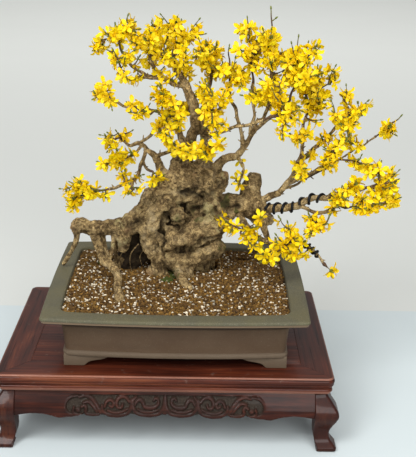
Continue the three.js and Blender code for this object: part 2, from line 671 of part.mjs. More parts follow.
// A square mesh screen over a drain hole
function screenGeometry(x) {
  const z = POT_FLOOR_TOP + SEAT_GAP + SCREEN_THICKNESS / 2;
  const offset = 0.7 * SCREEN_HOLE;
  let screen = solidOf(block(SCREEN_SIZE, SCREEN_SIZE, SCREEN_THICKNESS, x, POT_Y, z));
  for (const holeX of [x - offset, x + offset]) {
    for (const holeY of [POT_Y - offset, POT_Y + offset]) {
      const hole = block(SCREEN_HOLE, SCREEN_HOLE, 4 * SCREEN_THICKNESS, holeX, holeY, z);
      screen = screen.subtract(solidOf(hole));
    }
  }
  return geometryOf(screen);
}

// Soil: it fills the pot to just under the rim, and its top is uneven
function soilHeight(x, y) {
  const ripple = Math.sin(x / 31) * Math.cos(y / 23) + 0.5 * Math.sin(x / 13 + y / 17);
  const mound = Math.exp(-((x - 30) ** 2 + (y - 40) ** 2) / 16000);
  return SOIL_TOP + 0.9 * ripple + SOIL_MOUND * mound;
}

function soilSolid(holes) {
  const inset = SEAT_GAP + 0.1;
  const levels = POT_INSIDE.map(([z, in_, radius]) => [z, in_ + inset, radius]);
  levels[0][0] += SEAT_GAP;
  const bed = solidOf(loft(levels.map(([z, in_, radius]) => potRing(z, in_, radius))));
  const cover = new THREE.BoxGeometry(2 * POT_HALF_X, 2 * POT_HALF_Y, 100, 9, 6, 1);
  cover.translate(POT_X, POT_Y, 0);
  const position = cover.attributes.position;
  for (let i = 0; i < position.count; i += 1) {
    const z = position.getZ(i) < 0 ? soilHeight(position.getX(i), position.getY(i)) : POT_TOP + 40;
    position.setZ(i, z);
  }
  let soil = bed.subtract(solidOf(cover));
  for (const sign of [-1, 1]) {
    const room = SCREEN_SIZE + 2 * SEAT_GAP;
    const height = 2 * (SCREEN_THICKNESS + 2 * SEAT_GAP);
    soil = soil.subtract(solidOf(block(room, room, height, POT_X + sign * DRAIN_X, POT_Y, POT_FLOOR_TOP)));
  }
  return soil.subtract(joined(holes));
}

// Wood: trunk and roots, and limbs that each end in a stretch aimed at their spray
function aimedLimbs() {
  const limbs = { ...LIMBS };
  for (const [limb, tips] of Object.values(SPRAYS)) {
    const last = LIMBS[limb][LIMBS[limb].length - 1];
    const end = point(last);
    const middle = new THREE.Vector3();
    tips.forEach((tip) => middle.add(point(tip)));
    const aim = middle.divideScalar(tips.length).sub(end).normalize();
    const base = end.clone().addScaledVector(aim, LIMB_TIP);
    limbs[limb] = [...LIMBS[limb], [base.x, base.y, base.z, last[3]]];
  }
  return limbs;
}

const AIMED = aimedLimbs();

function woodSolids() {
  const thick = Object.values(TRUNK).map((points, i) =>
    solidOf(limbGeometry(points, WOOD_SIDES, 0, BARK_SWELL, 2.1 * i)),
  );
  const roots = Object.values(ROOTS).map((points) => solidOf(limbGeometry(points, ROOT_SIDES)));
  const limbs = Object.values(AIMED).map((points) => solidOf(limbGeometry(points, LIMB_SIDES)));
  return joined([...thick, ...roots, ...limbs]);
}

// What the wood takes out of the soil, a little larger all round
function soilHoles() {
  const deep = (points) => points.some(([, , z]) => z < SOIL_TOP + 30);
  const widened = (points, sides, swell, phase) => {
    const last = points.length - 1;
    const end = point(points[last]);
    const step = end.clone().sub(point(points[last - 1])).normalize();
    end.addScaledVector(step, SOIL_GAP);
    const grown = [...points.slice(0, last), [end.x, end.y, end.z, points[last][3]]];
    return solidOf(limbGeometry(grown, sides, SOIL_GAP, swell, phase));
  };
  const holes = [];
  Object.values(TRUNK).forEach((points, i) => {
    if (deep(points)) {
      holes.push(widened(points, WOOD_SIDES, BARK_SWELL, 2.1 * i));
    }
  });
  Object.values(ROOTS).filter(deep).forEach((points) => holes.push(widened(points, ROOT_SIDES, 0, 0)));
  return holes;
}

// A twig bends from the way it sets out towards its tip
function bentRoute(start, aim, tip) {
  const control = start.clone().addScaledVector(aim, 0.42 * start.distanceTo(tip));
  const bend = new THREE.QuadraticBezierCurve3(start, control, tip);
  return [0, 0.45, 1].map((t) => bend.getPoint(t));
}

// A spray's first twig grows on from the limb's end. The others branch from inside it.
function sprayPlans() {
  return Object.entries(SPRAYS).map(([name, [limb, tips]]) => {
    const points = AIMED[limb];
    const base = point(points[points.length - 1]);
    const aim = base.clone().sub(point(points[points.length - 2])).normalize();
    const neck = 0.9 * points[points.length - 1][3];
    const start = base.clone().addScaledVector(aim, SEAT_GAP);
    const first = bentRoute(start, aim, point(tips[0]));
    first.splice(1, 0, base.clone().addScaledVector(aim, NECK_LENGTH));
    const frames = framesAlong(first);
    const others = tips.slice(1).map((tip, i) => {
      const { middle, along } = placeAlong(first, frames, 1.2 + 0.4 * i);
      return bentRoute(middle, along, point(tip));
    });
    const firstRadii = [neck, neck, TWIG_RADIUS, TWIG_TIP_RADIUS];
    const otherRadii = [TWIG_ROOT_RADIUS, TWIG_RADIUS, TWIG_TIP_RADIUS];
    const twigSolid = (route, radii) =>
      solidOf(limbGeometry(route.map((p, k) => [p.x, p.y, p.z, radii[k]]), TWIG_SIDES));
    const solids = [twigSolid(first, firstRadii), ...others.map((route) => twigSolid(route, otherRadii))];
    return { name, twigs: [first, ...others], solid: joined(solids) };
  });
}

// A bloom of four petals on a short stalk that starts inside its twig, or the room kept round its petals
function bloomSolid({ root, facing, spin }, room = 0) {
  const turn = new THREE.Quaternion().setFromUnitVectors(new THREE.Vector3(0, 0, 1), facing);
  const at = (radius, angle, height) =>
    new THREE.Vector3(radius * Math.cos(angle + spin), radius * Math.sin(angle + spin), height)
      .applyQuaternion(turn)
      .add(root);
  const footLift = room > 0 ? STALK_LIFT - 2 * room : -STALK_SINK;
  const vertices = [at(0, 0, footLift), at(0, 0, THROAT_LIFT + room)];
  for (let i = 0; i < 3; i += 1) {
    vertices.push(at(STALK_RADIUS + room, (i * 2 * Math.PI) / 3, STALK_LIFT - room));
  }
  for (let i = 0; i < 4; i += 1) {
    vertices.push(at(BLOOM_NOTCH + room, (i * Math.PI) / 2, THROAT_LIFT + 0.5));
    vertices.push(at(BLOOM_RADIUS + room, ((i + 0.5) * Math.PI) / 2, BLOOM_LIFT));
  }
  const foot = 0;
  const throat = 1;
  const stalk = 2; // the first of the stalk's three corners
  const edge = 5; // the first of the eight points round the petals
  const faces = [];
  for (let i = 0; i < 8; i += 1) {
    faces.push(throat, edge + i, edge + ((i + 1) % 8));
  }
  // the underside runs from the eight points of the edge to the three of the stalk
  let corner = 0;
  for (let i = 0; i < 8; i += 1) {
    const next = edge + ((i + 1) % 8);
    faces.push(stalk + (corner % 3), next, edge + i);
    if (Math.round(((i + 1) * 3) / 8) > corner) {
      faces.push(stalk + (corner % 3), stalk + ((corner + 1) % 3), next);
      corner += 1;
    }
  }
  for (let i = 0; i < 3; i += 1) {
    faces.push(foot, stalk + ((i + 1) % 3), stalk + i);
  }
  const positions = vertices.flatMap((vertex) => vertex.toArray());
  const geometry = new THREE.BufferGeometry();
  geometry.setAttribute('position', new THREE.Float32BufferAttribute(positions, 3));
  geometry.setIndex(faces);
  return solidOf(geometry);
}

function withBox(solid) {
  const { min, max } = solid.boundingBox();
  return { solid, box: new THREE.Box3(point(min), point(max)) };
}

// How a bloom stands on one of the flat sides of its twig
function drawPose(route, frames, place, draw) {
  const { middle, across, up, along } = placeAlong(route, frames, place);
  const side = Math.floor(TWIG_SIDES * draw());
  const angle = ((side + 0.5 + 0.3 * (draw() - 0.5)) * 2 * Math.PI) / TWIG_SIDES;
  const facing = across.multiplyScalar(Math.cos(angle)).addScaledVector(up, Math.sin(angle));
  facing.addScaledVector(along, 0.2).normalize();
  return { root: middle, facing, spin: draw() * Math.PI };
}

// Blooms stand along each twig's outer part, more of them looking down than up, clear of all else
function growBlooms(plans, fixed) {
  const draw = seededDraw(3451);
  const taken = [...fixed, ...plans.map((plan) => plan.solid)].map(withBox);
  const isFree = (room) =>
    !taken.some(({ solid, box }) => box.intersectsBox(room.box) && !solid.intersect(room.solid).isEmpty());
  const grewBloom = (plan, pose) => {
    if (pose.facing.z > 0.2 + 0.4 * draw() || !isFree(withBox(bloomSolid(pose, BLOOM_ROOM)))) {
      return false;
    }
    const bloom = bloomSolid(pose);
    plan.solid = plan.solid.add(bloom);
    taken.push(withBox(bloom));
    return true;
  };
  for (const plan of plans) {
    for (const route of plan.twigs) {
      const frames = framesAlong(route);
      const last = route.length - 1;
      const length = 0.5 * TWIG_FLOWERING * route[last].distanceTo(route[last - 2]);
      const count = Math.max(1, Math.round(length / BLOOM_STEP));
      for (let k = 0; k < count; k += 1) {
        let grown = false;
        for (let attempt = 0; attempt < BLOOM_TRIES && !grown; attempt += 1) {
          const place = last - TWIG_BARE - (TWIG_FLOWERING * (k + 0.6 * draw())) / count;
          grown = grewBloom(plan, drawPose(route, frames, place, draw));
        }
      }
    }
  }
}

// Training wire: a helix that lies on its limb
function wireGeometry(points, from, to, turns) {
  const route = points.map(point);
  const frames = framesAlong(route);
  const steps = turns * WIRE_STEPS;
  const places = [];
  for (let i = 0; i <= steps; i += 1) {
    const { middle, across, up, index, share } = placeAlong(route, frames, blend(from, to, i / steps));
    const reach = blend(points[index][3], points[index + 1][3], share) + WIRE_RADIUS + WIRE_CLEARANCE;
    const angle = (2 * Math.PI * i) / WIRE_STEPS;
    middle.addScaledVector(across, Math.cos(angle) * reach).addScaledVector(up, Math.sin(angle) * reach);
    places.push(middle);
  }
  const section = new THREE.Shape();
  for (let i = 0; i < WIRE_SIDES; i += 1) {
    const angle = (2 * Math.PI * i) / WIRE_SIDES;
    section[i === 0 ? 'moveTo' : 'lineTo'](WIRE_RADIUS * Math.cos(angle), WIRE_RADIUS * Math.sin(angle));
  }
  const extrudePath = new THREE.CatmullRomCurve3(places);
  return new THREE.ExtrudeGeometry(section, { steps, bevelEnabled: false, extrudePath });
}

// The whole object
const bonsai = new THREE.Group();

function addPiece(name, geometry, material) {
  const mesh = new THREE.Mesh(geometry, MATERIALS[material]);
  mesh.name = name;
  bonsai.add(mesh);
}

for (const [name, geometry] of [...standTop(), ...standAprons(), ...standLegs()]) {
  addPiece(name, geometry, 'rosewood');
}

const pot = potSolid();
addPiece('pot', geometryOf(pot), 'clay');
addPiece('drain_screen_left', screenGeometry(POT_X - DRAIN_X), 'mesh');
addPiece('drain_screen_right', screenGeometry(POT_X + DRAIN_X), 'mesh');
addPiece('soil', geometryOf(soilSolid(soilHoles())), 'soil');

const wood = woodSolids();
addPiece('tree_wood', geometryOf(wood), 'bark');
const wires = Object.entries(WIRES).map(([name, [limb, from, to, turns]]) => {
  const wire = wireGeometry(AIMED[limb], from, to, turns);
  addPiece(name, wire, 'wire');
  return solidOf(wire);
});

const plans = sprayPlans();
growBlooms(plans, [wood, pot, ...wires]);
plans.forEach((plan) => addPiece(`spray_${plan.name}`, geometryOf(plan.solid), 'blossom'));

const box = new THREE.Box3().setFromObject(bonsai);
bonsai.position.set(-(box.min.x + box.max.x) / 2, -(box.min.y + box.max.y) / 2, -box.min.z);

const forsythia = new THREE.Group();
forsythia.add(bonsai);

export default forsythia;
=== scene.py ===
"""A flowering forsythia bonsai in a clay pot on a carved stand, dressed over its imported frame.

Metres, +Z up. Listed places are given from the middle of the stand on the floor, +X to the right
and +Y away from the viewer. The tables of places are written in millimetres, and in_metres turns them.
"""

import math
import random

import bmesh
import bpy
import numpy as np
from bpy.props import FloatProperty, FloatVectorProperty, IntProperty, PointerProperty
from mathutils import Matrix, Vector, noise
from mathutils.bvhtree import BVHTree
from mathutils.kdtree import KDTree


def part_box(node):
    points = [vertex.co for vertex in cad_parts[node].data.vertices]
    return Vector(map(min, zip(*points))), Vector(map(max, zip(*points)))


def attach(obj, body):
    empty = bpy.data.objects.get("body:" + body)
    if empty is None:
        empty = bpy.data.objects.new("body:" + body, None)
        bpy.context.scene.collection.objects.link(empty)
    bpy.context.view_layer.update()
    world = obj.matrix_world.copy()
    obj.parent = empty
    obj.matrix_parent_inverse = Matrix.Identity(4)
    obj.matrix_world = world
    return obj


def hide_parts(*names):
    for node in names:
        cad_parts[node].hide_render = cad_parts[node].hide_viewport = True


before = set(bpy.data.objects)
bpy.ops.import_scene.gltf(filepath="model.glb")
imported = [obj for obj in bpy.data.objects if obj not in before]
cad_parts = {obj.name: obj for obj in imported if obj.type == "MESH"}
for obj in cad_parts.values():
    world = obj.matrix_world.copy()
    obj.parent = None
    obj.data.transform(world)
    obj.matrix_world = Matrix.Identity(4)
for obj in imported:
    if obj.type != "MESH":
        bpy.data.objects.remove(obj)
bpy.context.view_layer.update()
NOISE_SEED = 7
noise.seed_set(NOISE_SEED)  # noise_vector starts from the clock unless it is seeded

bl_info = {
    "name": "Forsythia bonsai",
    "version": (1, 0, 0),
    "blender": (4, 5, 0),
    "location": "3D View > Sidebar > Bonsai",
    "description": "Stand, pot, soil, wood and flowering sprays of a forsythia bonsai",
    "category": "Object",
}


def middle_of(node):
    low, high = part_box(node)
    return (low + high) / 2


def in_metres(table):
    """The same table with its millimetres in metres."""
    if isinstance(table, dict):
        return {name: in_metres(entry) for name, entry in table.items()}
    if isinstance(table, tuple):
        return tuple(in_metres(entry) for entry in table)
    return table if isinstance(table, str) else round(table / 1000, 5)


STAND_MIDDLE = Vector((middle_of("stand_panel").x, middle_of("stand_panel").y, 0))
STAND_HALF_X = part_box("stand_rail_front")[1].x - STAND_MIDDLE.x - 0.0035
STAND_HALF_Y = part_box("stand_rail_right")[1].y - STAND_MIDDLE.y - 0.0035
STAND_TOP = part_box("stand_rail_front")[1].z
RAIL_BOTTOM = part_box("stand_rail_front")[0].z
RAIL_WIDTH = 0.057
MITRE_GAP = 0.00025
LEG_INSET = 0.0325
SEAT_GAP = 0.0003

# Trunk, roots and limbs: places with a radius, (x, y, z, radius)
TRUNK = in_metres({
    "left_buttress": ((25, 48, 458, 34), (-5, 44, 438, 36), (-33, 40, 402, 34), (-59, 38, 377, 28),
        (-90, 36, 364, 20), (-126, 34, 360, 16), (-161, 33, 360, 13.5), (-190, 32, 364, 13),
        (-201, 32, 364, 7)),
    "left_column": ((-8, 36, 425, 32), (-36, 30, 376, 27), (-38, 28, 337, 21), (-24, 28, 302, 17),
        (-20, 30, 244, 17)),
    "stub": ((-14, 28, 280, 13), (-28, 28, 271, 12), (-43, 27, 261, 10)),
    "crown_mass": ((-2, 46, 450, 26), (15, 48, 454, 34), (60, 50, 456, 38), (94, 48, 457, 30),
        (106, 48, 458, 18)),
    "knob": ((88, 46, 458, 24), (104, 41, 470, 17), (110, 39, 475, 9)),
    "upper_log": ((-18, 22, 333, 15), (-8, 22, 340, 23), (27, 22, 347, 27), (61, 26, 361, 28),
        (92, 32, 377, 25), (118, 40, 392, 20), (128, 42, 397, 11)),
    "lower_log": ((-8, 22, 289, 14), (1, 22, 292, 20), (33, 26, 300, 21), (70, 32, 311, 19),
        (101, 38, 321, 17), (111, 40, 324, 9)),
    "burl": ((5, 22, 386, 10), (13, 16, 392, 19), (20, 13, 400, 17), (26, 12, 408, 8)),
    "hollow_limb": ((60, 50, 407, 26), (105, 46, 411, 22), (138, 48, 410, 19), (166, 54, 408, 17)),
    "snag": ((172, 56, 472, 11), (170, 56, 460, 15.5), (165, 56, 435, 19), (169, 54, 405, 27),
        (188, 52, 385, 18), (205, 50, 375, 11), (211, 50, 371, 6)),
    "stick": ((184, 50, 381, 10), (194, 46, 357, 7), (202, 42, 337, 5.5)),
    "back_mass": ((60, 68, 452, 26), (60, 72, 440, 36), (52, 80, 382, 42), (50, 88, 319, 37),
        (52, 96, 270, 34), (52, 100, 236, 34)),
    "back_root_left": ((36, 96, 330, 24), (-6, 116, 300, 16), (-46, 126, 272, 11), (-72, 130, 250, 7)),
    "back_root_right": ((80, 96, 320, 24), (96, 128, 286, 16), (108, 150, 262, 10), (118, 166, 246, 6)),
    "flare": ((25, 24, 318, 22), (30, 20, 284, 19), (34, 18, 246, 19)),
})
ROOTS = in_metres({
    "finger": ((13, 14, 287, 11), (26, -16, 271, 9), (43, -44, 259, 7), (50, -56, 248, 5)),
    "rim_root": ((-189, 32, 357, 8), (-192, 34, 333, 5.5), (-206, 38, 302, 4.8), (-219, 45, 279, 4.4),
        (-223, 46, 273.2, 3.6)),
    "long_root": ((-153, 34, 353, 12), (-143, 22, 318, 9), (-134, 5, 301, 8.5), (-115, -14, 294, 8.5),
        (-100, -45, 283, 8), (-99, -70, 272, 7.5), (-94, -93, 263, 9), (-95, -120, 254, 5)),
    "long_root_back": ((-142, 46, 344, 9), (-136, 42, 315, 6), (-123, 4, 297, 5)),
    "thin_root": ((-116, 36, 351, 6), (-116, 30, 327, 4), (-119, 8, 309, 3.6), (-122, -4, 298, 3.6)),
    "thread_root": ((-106, 40, 350, 6), (-112, 48, 330, 3.6), (-114, 58, 300, 3), (-118, 80, 250, 3)),
    "hanging_chunk": ((-98, 34, 360, 22), (-94, 32, 331, 14), (-98, 32, 309, 7)),
    "right_thread_a": ((73, 50, 306, 4), (74, 80, 284, 3), (74, 98, 246, 3)),
    "right_thread_b": ((89, 55, 309, 4), (91, 84, 282, 3), (92, 100, 246, 3)),
})
LIMBS = in_metres({
    "left_arm_twig": ((2, 48, 446, 16), (-7, 46, 465, 11), (-19, 40, 489, 8.5), (-28, 33, 511, 7),
        (-46, 38, 525, 5.6), (-65, 44, 539, 4.6), (-82, 40, 533, 3.2)),
    "left_fork": ((-28, 33, 511, 5), (-10, 20, 523, 4), (4, 8, 531, 3.4)),
    "left_arm_up": ((-65, 44, 537, 4), (-52, 36, 548, 3.6), (-38, 26, 560, 3.2)),
    "left_arm_low": ((-58, 42, 532, 3.6), (-74, 36, 514, 3)),
    "left_drop": ((-46, 38, 524, 5), (-57, 33, 504, 4.6), (-69, 24, 468, 4), (-84, 24, 457, 3.6),
        (-115, 20, 446, 3)),
    "left_drop_tuft": ((-73, 24, 464, 3.6), (-75, 14, 460, 3)),
    "left_inner": ((-56, 34, 504, 3.6), (-46, 27, 488, 3)),
    "dark_limb": ((33, 48, 522, 9), (19, 38, 556, 7), (11, 28, 588, 6.5), (9, 18, 618, 6)),
    "dark_limb_left": ((10, 22, 604, 4.4), (-18, 16, 610, 3.8), (-66, 16, 613, 3.3), (-101, 22, 620, 3)),
    "dark_limb_mid": ((-34, 15, 612, 3.4), (-42, 6, 604, 3)),
    "leader": ((15, 50, 466, 26), (21, 50, 489, 21), (30, 50, 518, 14), (48, 58, 566, 10), (43, 64, 617, 9),
        (29, 66, 648, 8), (7, 64, 707, 6)),
    "leader_twin": ((66, 52, 466, 28), (69, 57, 492, 18), (68, 61, 522, 11), (64, 66, 576, 8),
        (69, 74, 611, 6), (73, 80, 634, 5)),
    "leader_back": ((24, 66, 660, 5), (14, 92, 672, 4.4), (2, 116, 682, 3.6)),
    "left_shelf": ((29, 66, 648, 6), (-4, 52, 660, 5.5), (-48, 36, 671, 5), (-88, 16, 671, 3.2)),
    "shelf_up_a": ((-13, 48, 661, 4.5), (-38, 44, 706, 3.6)),
    "shelf_up_b": ((-48, 36, 671, 4), (-88, 42, 706, 3.2)),
    "centre_front": ((69, 56, 500, 10), (76, 36, 514, 5), (79, 24, 520, 4)),
    "centre_top": ((66, 63, 540, 6), (72, 50, 558, 4.2), (76, 38, 572, 3.6)),
    "branch_a_up": ((146, 44, 528, 4.5), (137, 54, 580, 4), (118, 62, 634, 3.6)),
    "branch_a_right": ((80, 50, 470, 20), (92, 54, 487, 12), (107, 50, 501, 8.5), (133, 46, 515, 7),
        (146, 44, 528, 6), (159, 38, 554, 5.2), (179, 30, 583, 4.6), (228, 18, 620, 3.8)),
    "branch_a_mid": ((159, 38, 554, 4), (163, 50, 604, 3.7), (160, 54, 650, 3.4)),
    "branch_a_top": ((179, 30, 583, 4), (192, 34, 624, 3.8), (194, 36, 694, 3.4)),
    "crossing": ((70, 60, 541, 5), (96, 34, 566, 4), (136, 14, 582, 3.6), (176, 0, 594, 3.2)),
    "hanging": ((136, 46, 516, 3.4), (146, 38, 486, 2.8), (138, 32, 453, 2.4)),
    "branch_b_up": ((256, 32, 504, 4), (264, 36, 550, 3.6), (266, 40, 586, 3.4)),
    "branch_b_low": ((264, 36, 548, 3.4), (254, 22, 552, 3)),
    "branch_b_right": ((168, 54, 404, 14), (182, 53, 414, 8.5), (199, 50, 424, 7), (222, 44, 439, 6.5),
        (241, 38, 465, 6), (256, 32, 506, 5.5), (272, 28, 526, 5), (300, 34, 547, 4), (323, 42, 574, 3.6)),
    "branch_c": ((229, 42, 449, 4.5), (270, 34, 477, 4), (301, 24, 497, 3.6)),
    "whip": ((214, 46, 434, 3.1), (262, 52, 458, 2.8), (308, 50, 484, 2.5), (352, 44, 520, 2.2),
        (396, 30, 556, 2.1)),
    "branch_e": ((172, 52, 398, 14), (186, 48, 404, 9.5), (199, 44, 405, 8.5), (226, 34, 411, 8),
        (257, 22, 420, 7), (286, 14, 438, 6.5), (318, 4, 442, 5.5), (350, -6, 456, 5), (366, -10, 459, 4)),
    "branch_e_up": ((318, 4, 442, 4), (321, -10, 452, 3.2)),
    "branch_f": ((259, 22, 418, 5), (288, 4, 413, 4.5), (314, -8, 420, 4.2), (336, -18, 432, 4)),
    "branch_f_down": ((288, 4, 412, 3.6), (290, -9, 404, 3.2)),
    "low_side": ((150, 30, 378, 4.4), (149, 18, 376, 3.2)),
    "low_front": ((223, -2, 344, 4), (222, -14, 341, 3.2)),
    "low_wired": ((128, 46, 402, 12), (138, 42, 396, 8.5), (152, 28, 375, 7), (173, 16, 358, 6),
        (197, 6, 345, 5), (223, -2, 344, 4.6), (246, -8, 351, 4.4), (262, -12, 351, 4),
        (282, -16, 346, 3.4), (292, -19, 334, 3.2), (303, -21, 323, 3)),
    "back_right": ((159, 38, 554, 4.4), (172, 84, 572, 3.8), (194, 130, 582, 3.2)),
    "back_left": ((64, 66, 576, 5), (56, 104, 580, 4), (44, 134, 578, 3.2)),
})

# Flowering sprays: the limb that each grows from, and where its twigs end
SPRAYS = in_metres({
    "left_leader": ("leader", ((21, 60, 773), (47, 106, 744), (-8, 40, 764))),
    "left_shelf_inner": ("shelf_up_a", ((-36, 14, 759), (-30, 88, 754))),
    "left_shelf_outer": ("shelf_up_b", ((-80, 60, 779), (-113, 6, 752), (-140, 54, 732))),
    "left_shelf_end": ("left_shelf", ((-106, -10, 724), (-80, -22, 680))),
    "middle_leader": ("leader_twin", ((68, 58, 716), (88, 108, 696), (96, 124, 664))),
    "left_crown_back": ("leader_back", ((-12, 166, 738), (-66, 132, 722), (-50, 152, 672))),
    "left_front": ("dark_limb", ((-16, -24, 668), (-34, -40, 645), (12, -34, 626))),
    "left_far": ("dark_limb_left", ((-129, 34, 652), (-146, 16, 630), (-110, 2, 614))),
    "left_mid": ("dark_limb_mid", ((-70, -18, 612), (-44, -38, 624))),
    "left_arm_up": ("left_arm_up", ((0, -14, 604), (-16, -34, 576), (-20, -6, 590))),
    "left_arm_end": ("left_arm_twig", ((-104, 24, 563), (-79, 55, 558), (-126, 40, 522))),
    "left_arm_low": ("left_arm_low", ((-112, 22, 500), (-128, 54, 488), (-92, -8, 512))),
    "left_inner": ("left_inner", ((-31, 6, 468), (-14, 2, 484))),
    "left_drop_end": ("left_drop", ((-150, 6, 449), (-200, 30, 458), (-194, 38, 426))),
    "left_drop_tuft": ("left_drop_tuft", ((-60, -22, 464), (-78, -26, 456))),
    "front_left": ("left_fork", ((11, -40, 560), (40, -28, 532), (34, -42, 545))),
    "front_right": ("centre_front", ((65, -20, 542), (82, -20, 552), (84, -8, 541))),
    "centre": ("centre_top", ((80, 14, 644), (102, 16, 618), (80, -8, 596))),
    "crossing": ("crossing", ((240, -36, 626), (224, -36, 595), (208, -10, 666))),
    "middle_up": ("branch_a_up", ((114, 60, 728), (144, 38, 675), (84, 38, 690))),
    "right_crown_left": ("branch_a_mid", ((148, 50, 784), (176, 84, 740), (134, 18, 730))),
    "right_crown_right": ("branch_a_right", ((242, 24, 752), (272, 4, 740), (250, -24, 676))),
    "right_crown_top": ("branch_a_top", ((190, 40, 801), (202, 66, 752), (180, -2, 756))),
    "right_up": ("branch_b_up", ((284, 44, 694), (242, 64, 664), (322, 66, 664))),
    "right_outer": ("branch_b_right", ((378, 34, 613), (340, 74, 630), (362, 12, 592))),
    "right_inner": ("branch_b_low", ((232, -6, 570), (262, -34, 578))),
    "right_low": ("branch_c", ((323, -12, 546), (300, -24, 529), (385, 16, 501))),
    "whip": ("whip", ((446, 4, 608), (436, -4, 575))),
    "wired_side": ("branch_e_up", ((331, -44, 457), (340, -54, 458))),
    "wired_end": ("branch_e", ((441, -30, 491), (416, 6, 514), (432, -26, 450))),
    "lower_wired_end": ("branch_f", ((372, -58, 442), (364, -60, 444))),
    "lower_wired_side": ("branch_f_down", ((266, -44, 386), (306, -50, 404))),
    "low_left": ("low_side", ((116, -2, 388), (172, -22, 352))),
    "low_right": ("low_front", ((248, -44, 372), (196, -42, 334), (241, -52, 343))),
    "low_tip": ("low_wired", ((327, -28, 299),)),
    "back_right": ("back_right", ((206, 186, 632), (266, 190, 588), (168, 190, 596))),
    "back_left": ("back_left", ((50, 192, 612), (-2, 176, 560))),
})


# Tips of the side twigs that grow from the nearest limb
SIDE_TIPS = in_metres((
    (-125, 20, 759), (-142, 50, 724), (-93, 30, 722), (-71, 50, 772), (-62, 60, 704), (-96, -20, 708),
    (-41, 60, 722), (-10, 20, 721), (22, 30, 732), (36, 90, 738), (48, 50, 721), (31, 30, 701),
    (40, 100, 670), (65, 80, 748), (89, 90, 722), (72, 40, 666), (102, 50, 645), (-23, 0, 662),
    (-39, -10, 625), (-9, -20, 638), (16, 0, 605), (16, 0, 579), (-1, -10, 550), (64, 0, 556),
    (100, 0, 588), (-77, 20, 524), (-96, 30, 480), (-134, 10, 448), (-185, 10, 460), (-78, 0, 461),
    (-65, 20, 735), (-63, 45, 747), (-69, 0, 725), (-116, 0, 726), (-127, 30, 733), (58, 20, 730),
    (67, 50, 737), (48, 45, 709), (54, 70, 738), (60, 20, 613), (64, 20, 593), (70, 0, 582), (3, -15, 579),
    (45, -10, 553), (-78, 35, 520), (-105, 30, 519), (-90, 35, 481), (-55, 20, 478), (-193, 15, 427),
    (-20, 60, 766), (9, 50, 772), (-15, 40, 687), (-61, 10, 686), (-145, 20, 639), (-73, -20, 615),
    (4, 45, 669), (37, 60, 687), (79, 40, 723), (-102, 10, 511), (-24, -10, 612), (-63, 50, 759),
    (56, 20, 607), (-80, 30, 509), (-128, 20, 433), (-72, 60, 745), (146, 50, 669), (163, 20, 698),
    (180, 60, 707), (192, 0, 709), (213, 60, 711), (225, 30, 697), (174, 0, 675), (201, 50, 670),
    (212, 0, 676), (187, 0, 652), (156, 0, 652), (134, 30, 657), (171, 60, 632), (279, 20, 741),
    (290, 40, 681), (320, 60, 678), (294, 20, 619), (313, 0, 616), (331, 0, 592), (314, 30, 565),
    (352, 20, 564), (302, -10, 543), (305, 0, 516), (269, 0, 530), (262, -10, 506), (373, 0, 529),
    (385, -10, 500), (337, -30, 469), (354, -30, 485), (377, -40, 460), (406, -40, 445), (440, -30, 456),
    (323, -30, 428), (278, -20, 411), (235, -20, 394), (211, -40, 367), (188, -40, 345), (267, -40, 340),
    (123, -10, 373), (177, -20, 359), (296, -30, 406), (314, -40, 419), (216, 30, 724), (214, 15, 707),
    (215, 40, 685), (197, 40, 784), (271, 30, 738), (307, 40, 636), (294, 0, 637), (287, 30, 616),
    (254, -40, 336), (258, -50, 348), (213, -30, 372), (185, -45, 324), (274, -30, 419), (151, -15, 376),
    (327, -45, 443), (316, -40, 451), (333, 0, 565), (348, 0, 571), (318, 10, 544), (296, -10, 527),
    (300, 0, 506), (443, -20, 486), (408, -30, 443), (117, 40, 672), (263, 0, 575), (291, 20, 595),
    (187, 50, 724), (135, 60, 667), (368, 50, 621), (346, -35, 483), (334, -35, 474), (399, -35, 443),
    (416, -30, 437), (294, 10, 566), (100, 40, 635), (246, 10, 622), (210, -50, 322), (302, 0, 544),
    (448, -30, 454), (312, -40, 418), (182, -10, 402),
))
# Length of the bare end of a spray's first twig, and the bare share at the start of its twigs
BARE_SHOOTS = {
    "right_crown_top": 0.045,
    "middle_up": 0.03,
    "right_crown_right": 0.026,
    "right_crown_left": 0.018,
    "left_leader": 0.012,
    "wired_end": 0.01,
    "whip": 0.09,
}
BARE_STARTS = {"right_low": 0.42, "crossing": 0.5, "low_tip": 0.75}


# What a user would change

class StandSettings(bpy.types.PropertyGroup):
    corner_radius: FloatProperty(
        name="Corner radius", description="Rounding of the top's corners", default=0.012, unit="LENGTH"
    )
    carving_depth: FloatProperty(
        name="Carving depth", description="How deep the scroll band is sunk", default=0.0055, unit="LENGTH"
    )
    dark_wood: FloatVectorProperty(
        name="Dark grain", description="Darkest streaks of the wood", subtype="COLOR",
        default=(0.016, 0.0045, 0.0032),
    )
    red_wood: FloatVectorProperty(
        name="Red wood", description="Body colour of the wood", subtype="COLOR",
        default=(0.078, 0.0165, 0.0075),
    )
    light_wood: FloatVectorProperty(
        name="Light grain", description="Lightest streaks of the wood", subtype="COLOR",
        default=(0.21, 0.062, 0.023),
    )


class PotSettings(bpy.types.PropertyGroup):
    wall_clay: FloatVectorProperty(
        name="Wall clay", description="Colour of the pot's walls and feet", subtype="COLOR",
        default=(0.080, 0.047, 0.026),
    )
    rim_clay: FloatVectorProperty(
        name="Rim clay", description="Colour of the weathered rim", subtype="COLOR",
        default=(0.100, 0.090, 0.050),
    )


